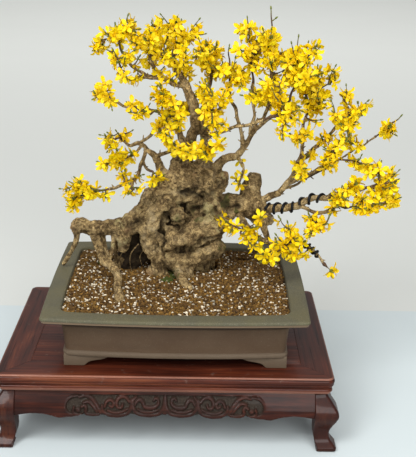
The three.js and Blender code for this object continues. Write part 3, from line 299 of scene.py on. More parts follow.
class SoilSettings(bpy.types.PropertyGroup):
    grain_size: FloatProperty(
        name="Grain size", description="Mean width of a grain", default=0.0054, unit="LENGTH"
    )
    white_share: FloatProperty(
        name="White grains", description="Share of the grains that are pumice", default=0.12, subtype="FACTOR"
    )
    brown: FloatVectorProperty(
        name="Brown grain", description="Colour of the clay grains", subtype="COLOR",
        default=(0.092, 0.045, 0.011),
    )
    ochre: FloatVectorProperty(
        name="Ochre grain", description="Colour of the lighter clay grains", subtype="COLOR",
        default=(0.25, 0.135, 0.026),
    )
    white: FloatVectorProperty(
        name="White grain", description="Colour of the pumice grains", subtype="COLOR",
        default=(0.70, 0.62, 0.47),
    )


class WoodSettings(bpy.types.PropertyGroup):
    detail: FloatProperty(
        name="Detail", description="Size of the cells that the trunk is joined with", default=0.0022,
        unit="LENGTH",
    )
    bark_relief: FloatProperty(
        name="Bark relief", description="Height of the ridges of the bark", default=0.0021, unit="LENGTH"
    )
    light_bark: FloatVectorProperty(
        name="Light bark", description="Colour of the ridges", subtype="COLOR", default=(0.68, 0.485, 0.215)
    )
    dark_bark: FloatVectorProperty(
        name="Dark bark", description="Colour of the cracks", subtype="COLOR", default=(0.070, 0.040, 0.015)
    )
    lichen: FloatVectorProperty(
        name="Lichen", description="Colour of the lichen", subtype="COLOR", default=(0.33, 0.27, 0.085)
    )
    moss: FloatVectorProperty(
        name="Moss", description="Colour of the moss", subtype="COLOR", default=(0.060, 0.055, 0.012)
    )
    wire: FloatVectorProperty(
        name="Wire", description="Colour of the training wire", subtype="COLOR", default=(0.007, 0.007, 0.009)
    )


class BloomSettings(bpy.types.PropertyGroup):
    petal_length: FloatProperty(
        name="Petal length", description="From the throat to the tip", default=0.0145, unit="LENGTH"
    )
    node_step: FloatProperty(
        name="Bud spacing", description="Distance between two buds along a twig", default=0.012, unit="LENGTH"
    )
    yellow: FloatVectorProperty(
        name="Yellow", description="Colour of an open petal", subtype="COLOR", default=(0.89, 0.69, 0.003)
    )
    deep_yellow: FloatVectorProperty(
        name="Deep yellow", description="Colour of the throat and the shaded petals", subtype="COLOR",
        default=(0.80, 0.52, 0.001),
    )
    seed: IntProperty(name="Seed", description="Starts the draw that places the blooms", default=3451)


class StageSettings(bpy.types.PropertyGroup):
    wall: FloatVectorProperty(
        name="Background", description="Colour of the floor behind the cloth", subtype="COLOR",
        default=(0.94, 0.965, 0.92),
    )
    cloth: FloatVectorProperty(
        name="Cloth", description="Colour of the cloth under the stand", subtype="COLOR",
        default=(0.585, 0.65, 0.66),
    )
    key_light: FloatProperty(
        name="Key light", description="Power of the large soft light", default=92, unit="POWER"
    )


# Finishes

class Value:
    """A node's output. Sums and products of values add the Math nodes that work them out."""

    def __init__(self, finish, socket):
        self.finish = finish
        self.socket = socket

    def math(self, operation, *terms):
        return self.finish.add("ShaderNodeMath", {"operation": operation}, dict(enumerate(terms)))

    def __add__(self, other):
        return self.math("ADD", self, other)

    __radd__ = __add__

    def __sub__(self, other):
        return self.math("SUBTRACT", self, other)

    def __rsub__(self, other):
        return self.math("SUBTRACT", other, self)

    def __mul__(self, other):
        return self.math("MULTIPLY", self, other)

    __rmul__ = __mul__

    def between(self, low, high):
        """Runs from 0 at low to 1 at high, and is level past them."""
        sockets = {"Value": self, "From Min": low, "From Max": high}
        return self.finish.add("ShaderNodeMapRange", {"interpolation_type": "SMOOTHSTEP"}, sockets)


class Finish:
    """A procedural material: the surface's own sockets take numbers, and its colours take values."""

    def __init__(self, name, **constants):
        self.material = bpy.data.materials.new(name)
        self.material.use_nodes = True
        self.tree = self.material.node_tree
        self.tree.nodes.clear()
        output = self.tree.nodes.new("ShaderNodeOutputMaterial")
        self.surface = self.tree.nodes.new("ShaderNodeBsdfPrincipled")
        self.tree.links.new(self.surface.outputs[0], output.inputs["Surface"])
        for socket, number in constants.items():
            self.surface.inputs[socket.replace("_", " ").title().replace("Ior", "IOR")].default_value = number
        self.places = self.add("ShaderNodeTexCoord", output="Object")

    def add(self, kind, settings=None, sockets=None, output=0):
        node = self.tree.nodes.new(kind)
        for name, setting in (settings or {}).items():
            if name == "stops":
                self.set_stops(node.color_ramp, setting)
            else:
                setattr(node, name, setting)
        for key, value in (sockets or {}).items():
            self.feed(node.inputs[key], value)
        return Value(self, node.outputs[output])

    def feed(self, socket, value):
        if isinstance(value, Value):
            self.tree.links.new(value.socket, socket)
        elif socket.type == "RGBA":
            socket.default_value = (*value[:3], 1)
        else:
            socket.default_value = value

    def set_stops(self, ramp, stops):
        while len(ramp.elements) < len(stops):
            ramp.elements.new(0.5)
        for element, (place, colour) in zip(ramp.elements, stops):
            element.position = place
            element.color = (*colour[:3], 1)

    def stretched(self, scale):
        sockets = {"Vector": self.places, "Scale": scale}
        return self.add("ShaderNodeMapping", {"vector_type": "POINT"}, sockets)

    def noise(self, scale, detail=4, roughness=0.55, distortion=0, places=None):
        sockets = {
            "Vector": places or self.places, "Scale": scale, "Detail": detail, "Roughness": roughness,
            "Distortion": distortion,
        }
        return self.add("ShaderNodeTexNoise", {}, sockets)

    def cells(self, scale, feature="F1", places=None):
        sockets = {"Vector": places or self.places, "Scale": scale}
        return self.add("ShaderNodeTexVoronoi", {"feature": feature}, sockets)

    def ramp(self, value, *stops):
        return self.add("ShaderNodeValToRGB", {"stops": stops}, {"Fac": value})

    def blend(self, share, first, second, mode="MIX"):
        settings = {"data_type": "RGBA", "blend_type": mode}
        return self.add("ShaderNodeMix", settings, {0: share, 6: first, 7: second}, output=2)

    def channels(self, attribute):
        """The red, green and blue of an attribute, and its alpha."""
        colour = self.add("ShaderNodeAttribute", {"attribute_name": attribute}, output="Color")
        alpha = Value(self, colour.socket.node.outputs["Alpha"])
        split = self.add("ShaderNodeSeparateColor", {}, {"Color": colour}).socket.node
        return [Value(self, socket) for socket in split.outputs] + [alpha]

    def height(self):
        return self.add("ShaderNodeSeparateXYZ", {}, {"Vector": self.places}, output="Z")

    def bump(self, relief, distance, strength=1.0):
        sockets = {"Height": relief, "Distance": distance, "Strength": strength}
        return self.add("ShaderNodeBump", {}, sockets)

    def dress(self, colour, roughness, bump):
        self.feed(self.surface.inputs["Base Color"], colour)
        self.feed(self.surface.inputs["Roughness"], roughness)
        self.feed(self.surface.inputs["Normal"], bump)
        return self.material


WOOD_DUST = (0.16, 0.115, 0.09)
# pale colour painted along the rails' beads as a highlight
BEAD_HIGHLIGHT_WOOD = (0.34, 0.15, 0.10)
# pale colour painted along the aprons' tops as a highlight
APRON_TOP_HIGHLIGHT = (0.22, 0.13, 0.10)


def wood_finish(name, along, settings, dusty=0.0, shade=0.0, bead_highlights=0.0):
    """Polished rosewood whose grain runs along one axis, 0 to 2, with highlights painted along the beads."""
    finish = Finish(name, coat_roughness=0.05, specular_ior_level=0.14)
    slow = [30.0, 30.0, 30.0]
    slow[along] = 2.6
    fine = [260.0, 260.0, 260.0]
    fine[along] = 7.0
    figure = finish.noise(1.0, 5, 0.62, 0.9, finish.stretched(slow))
    streaks = finish.noise(1.0, 3, 0.6, 0.2, finish.stretched(fine))
    cloud = finish.noise(5.0, 2)
    tone = (figure * 0.62 + streaks * 0.26 + cloud * 0.22).between(0.36, 0.84)
    body = finish.ramp(tone, (0.0, settings.dark_wood), (0.5, settings.red_wood), (1.0, settings.light_wood))
    pores = streaks.between(0.40, 0.33)
    body = finish.blend(shade * (0.6 + 0.8 * cloud), body, settings.dark_wood)
    colour = finish.blend(pores * 0.55, body, settings.dark_wood)
    rubbed_and_highlight = finish.noise(60.0, 6, 0.7).between(0.60, 0.72) * dusty
    colour = finish.blend(rubbed_and_highlight, colour, WOOD_DUST)
    level = finish.height()
    # painted highlights: pale lines along the top bead and the lower bead of the rails, standing in for the
    # lamps' glints there
    upper = level.between(STAND_TOP - 0.0034, STAND_TOP - 0.0024)
    upper = upper - level.between(STAND_TOP - 0.0003, STAND_TOP)
    lower = level.between(RAIL_BOTTOM + 0.0005, RAIL_BOTTOM + 0.0015)
    lower = lower - level.between(RAIL_BOTTOM + 0.0060, RAIL_BOTTOM + 0.0085)
    bead_highlight = (upper + lower) * (0.25 + 0.6 * cloud) * bead_highlights
    colour = finish.blend(bead_highlight, colour, BEAD_HIGHLIGHT_WOOD)
    finish.feed(finish.surface.inputs["Coat Weight"], 0.12 + bead_highlight * 0.3)
    roughness = 0.27 + 0.16 * cloud + 0.35 * rubbed_and_highlight + 0.12 * pores
    return finish.dress(colour, roughness, finish.bump(streaks + figure * 0.4, 0.00012, 0.5))


def carved_finish(settings):
    """The aprons' wood: dull and dark in the carving's sunk ground, painted darker over the carving as shade
    but lighter on the ribbon crests as highlights, and with a highlight painted along its top.
    """
    finish = Finish("rosewood carved", coat_weight=0.08, coat_roughness=0.08, specular_ior_level=0.12)
    streaks = finish.noise(1.0, 4, 0.6, 0.2, finish.stretched((12.0, 12.0, 240.0)))
    cloud = finish.noise(9.0, 3)
    tone = (streaks * 0.6 + cloud * 0.5).between(0.38, 1.0)
    body = finish.ramp(tone, (0.0, settings.dark_wood), (0.6, settings.red_wood), (1.0, settings.light_wood))
    sunk, crest, band, _ = finish.channels("carving")
    ground = finish.ramp(finish.noise(420.0, 3), (0.3, (0.012, 0.0085, 0.006)), (0.8, (0.050, 0.036, 0.026)))
    # painted shade: the carved band is darkened, less on the ribbon crests, which stay lighter as painted
    # highlights
    body = finish.blend(band * (0.62 - 0.45 * crest), body, settings.dark_wood)
    # painted highlight: a pale band along the apron's top, just under the rail, standing in for the light
    # caught there
    rubbed_and_highlight = finish.height().between(RAIL_BOTTOM - 0.0065, RAIL_BOTTOM - 0.0030) * (0.05 + 0.4 * cloud)
    body = finish.blend(rubbed_and_highlight, body, APRON_TOP_HIGHLIGHT)
    colour = finish.blend(sunk, body, ground)
    roughness = 0.30 + 0.14 * cloud + 0.40 * sunk
    return finish.dress(colour, roughness, finish.bump(streaks, 0.0001, 0.4))


# Colours of the clay, and the heights between which its colour changes; just under the lip the wall is
# painted dark as the lip's shadow
DUSTY_CLAY = (0.104, 0.067, 0.040)
DARK_CLAY = (0.062, 0.040, 0.026)
PAINTED_SHADOW_CLAY = (0.022, 0.013, 0.008)
LIP_CLAY = (0.165, 0.115, 0.072)
FOOT_CLAY = (0.135, 0.104, 0.072)
DARK_RIM = (0.075, 0.072, 0.052)
PAINTED_LIP_SHADOW = (0.2335, 0.2415)
LIP_START = (0.2535, 0.2552)
RIM_START = (0.2604, 0.2616)
BAND_HEIGHT = 0.032


def clay_finish(settings):
    """Unglazed fired clay: brown walls with a shadow painted under the lip, and a rim that has weathered to
    grey-green.
    """
    finish = Finish("unglazed clay", specular_ior_level=0.2)
    cloud = finish.noise(14.0, 5, 0.6)
    speckle = finish.noise(650.0, 2)
    streak = finish.noise(1.0, 4, 0.6, 0.3, finish.stretched((9.0, 9.0, 70.0)))
    wall = finish.blend(cloud.between(0.3, 0.75) * 0.6, settings.wall_clay, DUSTY_CLAY)
    wall = finish.blend(streak.between(0.5, 0.8) * 0.35, wall, DARK_CLAY)
    rim = finish.blend(cloud.between(0.35, 0.7) * 0.7, settings.rim_clay, DARK_RIM)
    rim = finish.blend(speckle.between(0.52, 0.72) * 0.5, rim, (0.22, 0.21, 0.15))
    level = finish.height()
    # painted shadow: the wall just under the rim's lip is darkened as if shaded by the lip
    wall = finish.blend(level.between(*PAINTED_LIP_SHADOW) * 0.88, wall, PAINTED_SHADOW_CLAY)
    wall = finish.blend(level.between(*LIP_START), wall, LIP_CLAY)
    colour = finish.blend((level + (cloud - 0.5) * 0.002).between(*RIM_START), wall, rim)
    band_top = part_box("pot")[0].z + BAND_HEIGHT
    foot = (level + (cloud - 0.5) * 0.004).between(band_top + 0.0015, band_top) * (0.35 + 0.4 * cloud)
    colour = finish.blend(foot, colour, FOOT_CLAY)
    colour = finish.blend(speckle.between(0.62, 0.75) * 0.3, colour, (0.26, 0.22, 0.16))
    roughness = 0.56 + 0.18 * cloud
    return finish.dress(colour, roughness, finish.bump(speckle + cloud * 0.6, 0.0003, 0.5))


def soil_finish(settings):
    """The bed under the loose grains."""
    finish = Finish("soil bed", specular_ior_level=0.2)
    grains = finish.cells(230.0)
    tint = finish.noise(180.0, 3)
    colour = finish.ramp(tint, (0.3, (0.022, 0.012, 0.006)), (0.55, settings.brown), (0.8, settings.ochre))
    return finish.dress(colour, 0.88 + 0.1 * tint, finish.bump(1 - grains, 0.002, 0.8))


def grain_finish(settings):
    """Loose grains. Their attribute holds how light, how ochre and how white each of them is."""
    finish = Finish("soil grains", specular_ior_level=0.25)
    light, ochre, white, _ = finish.channels("grain")
    pores = finish.noise(900.0, 3)
    clay = finish.blend(ochre, settings.brown, settings.ochre)
    colour = finish.blend(white, clay, settings.white)
    shade = 0.42 + 0.75 * light + 0.3 * (pores - 0.5)
    grey = finish.add("ShaderNodeCombineColor", {}, {0: shade, 1: shade, 2: shade})
    colour = finish.blend(1.0, colour, grey, "MULTIPLY")
    return finish.dress(colour, 0.75 + 0.2 * pores, finish.bump(pores, 0.0006, 0.6))


MIDDLE_BARK = (0.30, 0.20, 0.084)
GREY_BARK = (0.46, 0.41, 0.30)
PALE_LICHEN = (0.50, 0.44, 0.25)
PALE_MOSS = (0.11, 0.10, 0.025)
# near-black for the shade painted into the bark's hollows, creases and holes, and for the rotted heartwood
ROT_AND_PAINTED_SHADE = (0.016, 0.0085, 0.0025)


def bark_finish(settings):
    """Bark. Its attribute holds lichen, moss, shade painted into hollows, creases and the rotted heartwood,
    and bare cut wood.
    """
    finish = Finish("bark", specular_ior_level=0.25)
    lichen, moss, hollow, bare = finish.channels("bark")
    broad = finish.noise(26.0, 5, 0.62)
    flakes = finish.noise(120.0, 6, 0.68, 0.8)
    fine = finish.noise(480.0, 3, 0.6)
    shifts = {"Vector": finish.places, "Scale": 60.0, "Detail": 3}
    shifted = finish.blend(0.12, finish.places, finish.add("ShaderNodeTexNoise", {}, shifts, output="Color"))
    crack = finish.cells(115.0, "DISTANCE_TO_EDGE", shifted).between(0.09, 0.0)
    tone = (flakes * 0.66 + broad * 0.40).between(0.38, 0.66)
    colour = finish.ramp(tone, (0.0, settings.dark_bark), (0.48, MIDDLE_BARK), (1.0, settings.light_bark))
    colour = finish.blend(crack * 0.65, colour, settings.dark_bark)
    colour = finish.blend(broad.between(0.52, 0.75) * 0.35, colour, GREY_BARK)
    patchy = (lichen + (flakes - 0.5) * 1.7).between(0.40, 0.72)
    grown = finish.blend(fine.between(0.35, 0.7), settings.lichen, PALE_LICHEN)
    colour = finish.blend(patchy * 0.75, colour, grown)
    mossy = (moss + (flakes - 0.5) * 1.3).between(0.42, 0.66)
    grown = finish.blend(fine.between(0.3, 0.7), settings.moss, PALE_MOSS)
    colour = finish.blend(mossy, colour, grown)
    cut = finish.ramp(fine, (0.2, (0.36, 0.17, 0.07)), (0.8, (0.66, 0.42, 0.22)))
    colour = finish.blend(bare, colour, cut)
    # painted shade: creases, dents, holes and the heartwood go towards near-black
    colour = finish.blend(hollow, colour, ROT_AND_PAINTED_SHADE)
    relief = flakes * 1.2 + fine * 0.4 - crack * 0.9
    return finish.dress(colour, 0.80 + 0.15 * fine, finish.bump(relief, 0.0034, 0.9))


def spray_finish(settings):
    """Twigs and blooms. Their attribute: petal, green, a bloom's tone and the place along a petal."""
    finish = Finish("forsythia spray", specular_ior_level=0.3)
    petal, green, tone, along = finish.channels("spray")
    fine = finish.noise(350.0, 3)
    twig = finish.ramp(fine, (0.3, (0.040, 0.020, 0.012)), (0.7, (0.135, 0.075, 0.040)))
    leaf = finish.ramp(fine, (0.3, (0.060, 0.075, 0.008)), (0.7, (0.20, 0.22, 0.030)))
    open_petal = finish.blend(tone, settings.deep_yellow, settings.yellow)
    throat = along.between(0.34, 0.0)
    streaks = finish.noise(900.0, 2).between(0.45, 0.7)
    orange = finish.blend(streaks, settings.deep_yellow, (0.68, 0.38, 0.0))
    flower = finish.blend(throat * 0.75, open_petal, orange)
    colour = finish.blend(petal, finish.blend(green, twig, leaf), flower)
    roughness = 0.72 - 0.22 * petal
    return finish.dress(colour, roughness, finish.bump(fine, 0.0003, 0.4))


def wire_finish(settings):
    """Blackened aluminium wire, rubbed lighter in places."""
    finish = Finish("training wire", metallic=0.7)
    rubbed_and_highlight = finish.noise(160.0, 4).between(0.52, 0.72)
    colour = finish.blend(rubbed_and_highlight * 0.5, settings.wire, (0.075, 0.078, 0.088))
    return finish.dress(colour, 0.5 - 0.16 * rubbed_and_highlight, finish.bump(finish.noise(700.0, 2), 0.0001, 0.4))


def screen_finish():
    """The drain screens' moulded mesh: a fine weave of ribs."""
    finish = Finish("drain screen", specular_ior_level=0.4)
    weave = finish.add("ShaderNodeTexChecker", {}, {"Vector": finish.places, "Scale": 900.0}, output="Fac")
    speckle = finish.noise(400.0, 2)
    colour = finish.ramp(speckle, (0.3, (0.010, 0.012, 0.010)), (0.7, (0.030, 0.034, 0.028)))
    return finish.dress(colour, 0.55 + 0.2 * speckle, finish.bump(weave, 0.0003, 0.6))


def plain_finish(name, near, far):
    """A matt, slightly clouded surface that may grow paler away from the camera, painted darker near it as
    shade.
    """
    finish = Finish(name, specular_ior_level=0.1)
    cloud = finish.noise(2.0, 3)
    depth = finish.add("ShaderNodeSeparateXYZ", {}, {"Vector": finish.places}, output="Y")
    colour = finish.blend(depth.between(0.3, 5.0), near, far)
    colour = finish.blend(cloud * 0.06, colour, (0.5, 0.5, 0.5))
    return finish.dress(colour, 0.75 + 0.15 * cloud, finish.bump(finish.noise(900.0, 2), 0.0002, 0.1))


# Shared modelling steps

def from_middle(x, y, z):
    return STAND_MIDDLE + Vector((x, y, z))


def deselect():
    bpy.ops.object.select_all(action="DESELECT")


def choose(piece):
    deselect()
    piece.select_set(True)
    bpy.context.view_layer.objects.active = piece


def start_editing(piece, mode="FACE"):
    choose(piece)
    bpy.ops.object.mode_set(mode="EDIT")
    bpy.ops.mesh.select_mode(type=mode)


def stop_editing():
    bpy.ops.object.mode_set(mode="OBJECT")


def clean(piece, merge=0.00001):
    """Merges doubled corners and turns every face outwards."""
    start_editing(piece, "VERT")
    bpy.ops.mesh.select_all(action="SELECT")
    bpy.ops.mesh.remove_doubles(threshold=merge)
    bpy.ops.mesh.normals_make_consistent(inside=False)
    stop_editing()


def apply_modifier(piece, kind, **settings):
    choose(piece)
    bpy.ops.object.modifier_add(type=kind)
    modifier = piece.modifiers[-1]
    for name, setting in settings.items():
        setattr(modifier, name, setting)
    bpy.ops.object.modifier_apply(modifier=modifier.name)


def raise_rings(name, rings):
    """A closed body: a filled circle laid on the first ring, then extruded from ring to ring."""
    deselect()
    bpy.ops.mesh.primitive_circle_add(vertices=len(rings[0]), fill_type="NGON")
    piece = bpy.context.object
    piece.name = name
    bpy.ops.object.mode_set(mode="EDIT")
    bpy.ops.mesh.select_all(action="SELECT")
    for step, ring in enumerate(rings):
        if step > 0:
            bpy.ops.mesh.extrude_region_move()
        shape = bmesh.from_edit_mesh(piece.data)
        corner = shape.verts.layers.int.get("corner") or shape.verts.layers.int.new("corner")
        if step == 0:
            for index, vertex in enumerate(shape.verts):
                vertex[corner] = index
        for vertex in shape.verts:
            if vertex.select:
                vertex.co = ring[vertex[corner]]
        bmesh.update_edit_mesh(piece.data)
    stop_editing()
    piece.data.attributes.remove(piece.data.attributes["corner"])
    clean(piece)
    return piece


def finish_piece(piece, material, slot, *nodes, smooth=35):
    """Gives a modelled piece its finish and its body, and hides the nodes that it stands for. Its slot is not
    used.
    """
    piece.data.materials.clear()
    piece.data.materials.append(material)
    choose(piece)
    bpy.ops.object.shade_smooth_by_angle(angle=math.radians(smooth))
    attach(piece, "root")
    if nodes:
        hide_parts(*nodes)


def dress_node(node, material):
    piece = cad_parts[node]
    piece.data.materials.clear()
    piece.data.materials.append(material)


def smooth_route(points, step):
    """A smooth route through (x, y, z, radius) points, with a place every step or so."""
    points = np.array(points, float)
    gaps = np.linalg.norm(np.diff(points[:, :3], axis=0), axis=1)
    slopes = np.diff(points, axis=0) / gaps[:, None]
    share = (gaps[1:] / (gaps[1:] + gaps[:-1]))[:, None]
    bends = np.vstack([slopes[:1], slopes[:-1] * share + slopes[1:] * (1 - share), slopes[-1:]])
    route = []
    for i, gap in enumerate(gaps):
        count = max(1, round(gap / step))
        t = (np.arange(count) / count)[:, None]
        start, end = points[i], points[i + 1]
        route.append(
            (2 * t**3 - 3 * t**2 + 1) * start + (t**3 - 2 * t**2 + t) * gap * bends[i]
            + (3 * t**2 - 2 * t**3) * end + (t**3 - t**2) * gap * bends[i + 1]
        )
    route.append(points[-1:])
    route = np.vstack(route)
    route[:, 3] = np.maximum(route[:, 3], points[:, 3].min() * 0.8)
    return route


def stray(route, reach=0.0055):
    """Lets a route stray as grown wood does. Routes that meet at a place stray together there."""
    for place in route:
        place[:3] += reach * np.array(noise.noise_vector(Vector(place[:3] / 0.028)))
    return route


def tubes(name, routes, fineness):
    """Round bodies along routes of (x, y, z, radius), as one mesh of closed shells."""
    curve = bpy.data.curves.new(name, "CURVE")
    curve.dimensions = "3D"
    curve.bevel_depth = 1.0
    curve.bevel_resolution = fineness
    curve.use_fill_caps = True
    for route in routes:
        spline = curve.splines.new("POLY")
        spline.points.add(len(route) - 1)
        spline.points.foreach_set("co", np.column_stack([route[:, :3], np.ones(len(route))]).ravel())
        spline.points.foreach_set("radius", np.ascontiguousarray(route[:, 3]))
    piece = bpy.data.objects.new(name, curve)
    bpy.context.scene.collection.objects.link(piece)
    choose(piece)
    bpy.ops.object.convert(target="MESH")
    clean(piece, 0.000001)
    return piece


def read_places(piece):
    places = np.empty(len(piece.data.vertices) * 3)
    piece.data.vertices.foreach_get("co", places)
    return places.reshape(-1, 3)


def read_normals(piece):
    normals = np.empty(len(piece.data.vertices) * 3)
    piece.data.vertex_normals.foreach_get("vector", normals)
    return normals.reshape(-1, 3)


def write_places(piece, places):
    piece.data.vertices.foreach_set("co", places.ravel())
    piece.data.update()


def noise_at(places, size):
    return np.array([noise.noise(Vector(place)) for place in places / size])


def paint(piece, name, channels):
    """Writes a colour attribute, one row of four numbers for each corner point."""
    attribute = piece.data.color_attributes.new(name, "FLOAT_COLOR", "POINT")
    attribute.data.foreach_set("color", np.clip(channels, 0, 1).ravel())


def join(piece, *others):
    choose(piece)
    for other in others:
        other.select_set(True)
    bpy.ops.object.join()
    return piece


def shift_to_middle(routes):
    middle = np.array([*STAND_MIDDLE, 0.0])
    return {name: np.array(points) + middle for name, points in routes.items()}


# Stage

CAMERA_PLACE = (0.0611, -1.7580, 1.0075)
CAMERA_YAW = -0.0092
CAMERA_PITCH = 0.3457
CAMERA_ROLL = 0.0187
CAMERA_LENS_MM = 73.52
CAMERA_SENSOR_MM = 36
CLOTH_BACK = 0.434  # where the cloth under the stand ends
CLOTH_SIZE = (7, 3.2)
CLOTH_TOP = -0.0006
FLOOR_SIZE = (30, 30)
FLOOR_TOP = -0.0042
FLOOR_NEAR_PAINTED_SHADE = 0.69
SHEET_THICKNESS = 0.003
ROOM_LIGHT = 0.46
# The lights: place, the spot each is turned to, width and height, and power as a share of the key light's
LIGHTS = {
    "key light": ((-1.80, -2.50, 3.10), (0, 0, 0.3), (1.4, 1.4), 1.0),
    "fill light": ((1.20, -3.60, 2.10), (0, 0, 0.2), (1.8, 1.8), 0.85),
    "top light": ((0.10, -1.60, 3.40), (0, 0, 0.2), (3.6, 0.8), 0.55),
    "wall light": ((0, 5.4, 6.0), (0, 5.6, 0), (5.0, 4.0), 1.1),
}


def camera_axes():
    """Which way the camera's right, up and forward point."""
    right = Vector((math.cos(CAMERA_YAW), math.sin(CAMERA_YAW), 0))
    ahead = Vector((-math.sin(CAMERA_YAW), math.cos(CAMERA_YAW), 0))
    forward = ahead * math.cos(CAMERA_PITCH) - Vector((0, 0, math.sin(CAMERA_PITCH)))
    up = ahead * math.sin(CAMERA_PITCH) + Vector((0, 0, math.cos(CAMERA_PITCH)))
    turned_right = right * math.cos(CAMERA_ROLL) + up * math.sin(CAMERA_ROLL)
    turned_up = up * math.cos(CAMERA_ROLL) - right * math.sin(CAMERA_ROLL)
    return turned_right, turned_up, forward


class BONSAI_OT_add_stage(bpy.types.Operator):
    """Adds the camera, the lights, the pale floor and the cloth under the stand"""

    bl_idname = "bonsai.add_stage"
    bl_label = "Add stage"

    def execute(self, context):
        settings = context.scene.bonsai_stage
        self.add_camera(context.scene)
        for name, (place, target, size, share) in LIGHTS.items():
            self.add_light(name, place, target, size, share * settings.key_light)
        world = bpy.data.worlds.new("soft room")
        world.use_nodes = True
        background = world.node_tree.nodes["Background"]
        background.inputs["Color"].default_value = (1.0, 1.0, 1.0, 1)
        background.inputs["Strength"].default_value = ROOM_LIGHT
        context.scene.world = world
        context.scene.view_settings.view_transform = "Standard"
        # painted shade: the floor just behind the cloth is darker, growing paler away from the camera
        near = tuple(channel * FLOOR_NEAR_PAINTED_SHADE for channel in settings.wall)
        self.add_sheet("floor", (0, 0, FLOOR_TOP), FLOOR_SIZE, near, settings.wall)
        cloth_middle = (0, CLOTH_BACK - CLOTH_SIZE[1] / 2, CLOTH_TOP)
        self.add_sheet("cloth", cloth_middle, CLOTH_SIZE, settings.cloth, settings.cloth)
        return {"FINISHED"}

    def add_camera(self, scene):
        lens = bpy.data.cameras.new("camera")
        lens.sensor_fit = "VERTICAL"
        lens.sensor_height = CAMERA_SENSOR_MM
        lens.lens = CAMERA_LENS_MM
        camera = bpy.data.objects.new("camera", lens)
        right, up, forward = camera_axes()
        turn = Matrix((right, up, -forward)).transposed().to_4x4()
        camera.matrix_world = Matrix.Translation(from_middle(*CAMERA_PLACE)) @ turn
        scene.collection.objects.link(camera)
        scene.camera = camera

    def add_light(self, name, place, target, size, power):
        bpy.ops.object.light_add(type="AREA", location=place)
        lamp = bpy.context.object
        lamp.name = name
        lamp.data.shape = "RECTANGLE"
        lamp.data.size, lamp.data.size_y = size
        lamp.data.energy = power
        lamp.rotation_euler = (Vector(target) - Vector(place)).to_track_quat("-Z", "Y").to_euler()

    def add_sheet(self, name, top, size, near, far):
        """A thin sheet whose upper side lies at the height of top."""
        middle = Vector(top) - Vector((0, 0, SHEET_THICKNESS / 2))
        deselect()
        bpy.ops.mesh.primitive_cube_add(size=1, location=middle, scale=(*size, SHEET_THICKNESS))
        sheet = bpy.context.object
        sheet.name = name
        bpy.ops.object.transform_apply(location=True, rotation=True, scale=True)
        sheet.data.materials.append(plain_finish(name, near, far))


# Stand: the rails' moulding, as distance past the rail's width and height above its underside
RAIL_MOULDING = in_metres((
    (-8, 0), (-5, 0.2), (-3.6, 1), (-3.4, 2.8), (-1.6, 4), (-0.4, 6), (-0.1, 8), (-0.6, 10), (-2, 11.6),
    (-3.4, 12.4), (-3.6, 13.2), (-2.2, 14), (-0.2, 15.6), (1.4, 17.6), (2.2, 19.8), (2.2, 21), (1.4, 21.4),
    (2.2, 21.9), (3, 24), (3.4, 26.2), (3.1, 28.6), (2.2, 30.2), (1, 30.8), (1.5, 31.6), (1.8, 32.6),
    (1.4, 33.8), (0.2, 34.6), (-1.4, 34.9), (-3, 35),
))
LEDGE_WIDTH = 0.010
LEDGE_TOP = 0.138
CORNER_STEPS = 6


def turned(place, quarter):
    """A place turned about the middle of the stand by a number of quarter turns."""
    x, y, z = place
    for _ in range(quarter % 4):
        x, y = -y, x
    return from_middle(x, y, z)


def rail_rings(half_length, half_depth, corner_radius, quarter):
    """The rail's section at each place from mitre to mitre. The rail faces -Y before it is turned."""
    section = [(RAIL_WIDTH + out, RAIL_BOTTOM + up) for out, up in RAIL_MOULDING]
    section += [(0.0004, STAND_TOP), (0, STAND_TOP - 0.0004), (0, LEDGE_TOP), (-LEDGE_WIDTH, LEDGE_TOP)]
    section += [(-LEDGE_WIDTH, RAIL_BOTTOM)]
    angles = [math.pi / 4 * step / CORNER_STEPS for step in range(CORNER_STEPS, -1, -1)]
    stations = [(-1, angle) for angle in angles] + [(1, angle) for angle in reversed(angles)]
    rings = []
    for side, angle in stations:
        ring = []
        for out, z in section:
            inset = RAIL_WIDTH - out
            radius = corner_radius - inset
            if radius > 0:
                x = half_length - corner_radius + radius * math.sin(angle)
                y = half_depth - corner_radius + radius * math.cos(angle)
            else:
                x = half_length - inset
                y = half_depth - inset
            x -= MITRE_GAP if angle == angles[0] else 0
            ring.append(turned((side * x, -y, z), quarter))
        rings.append(ring)
    return rings


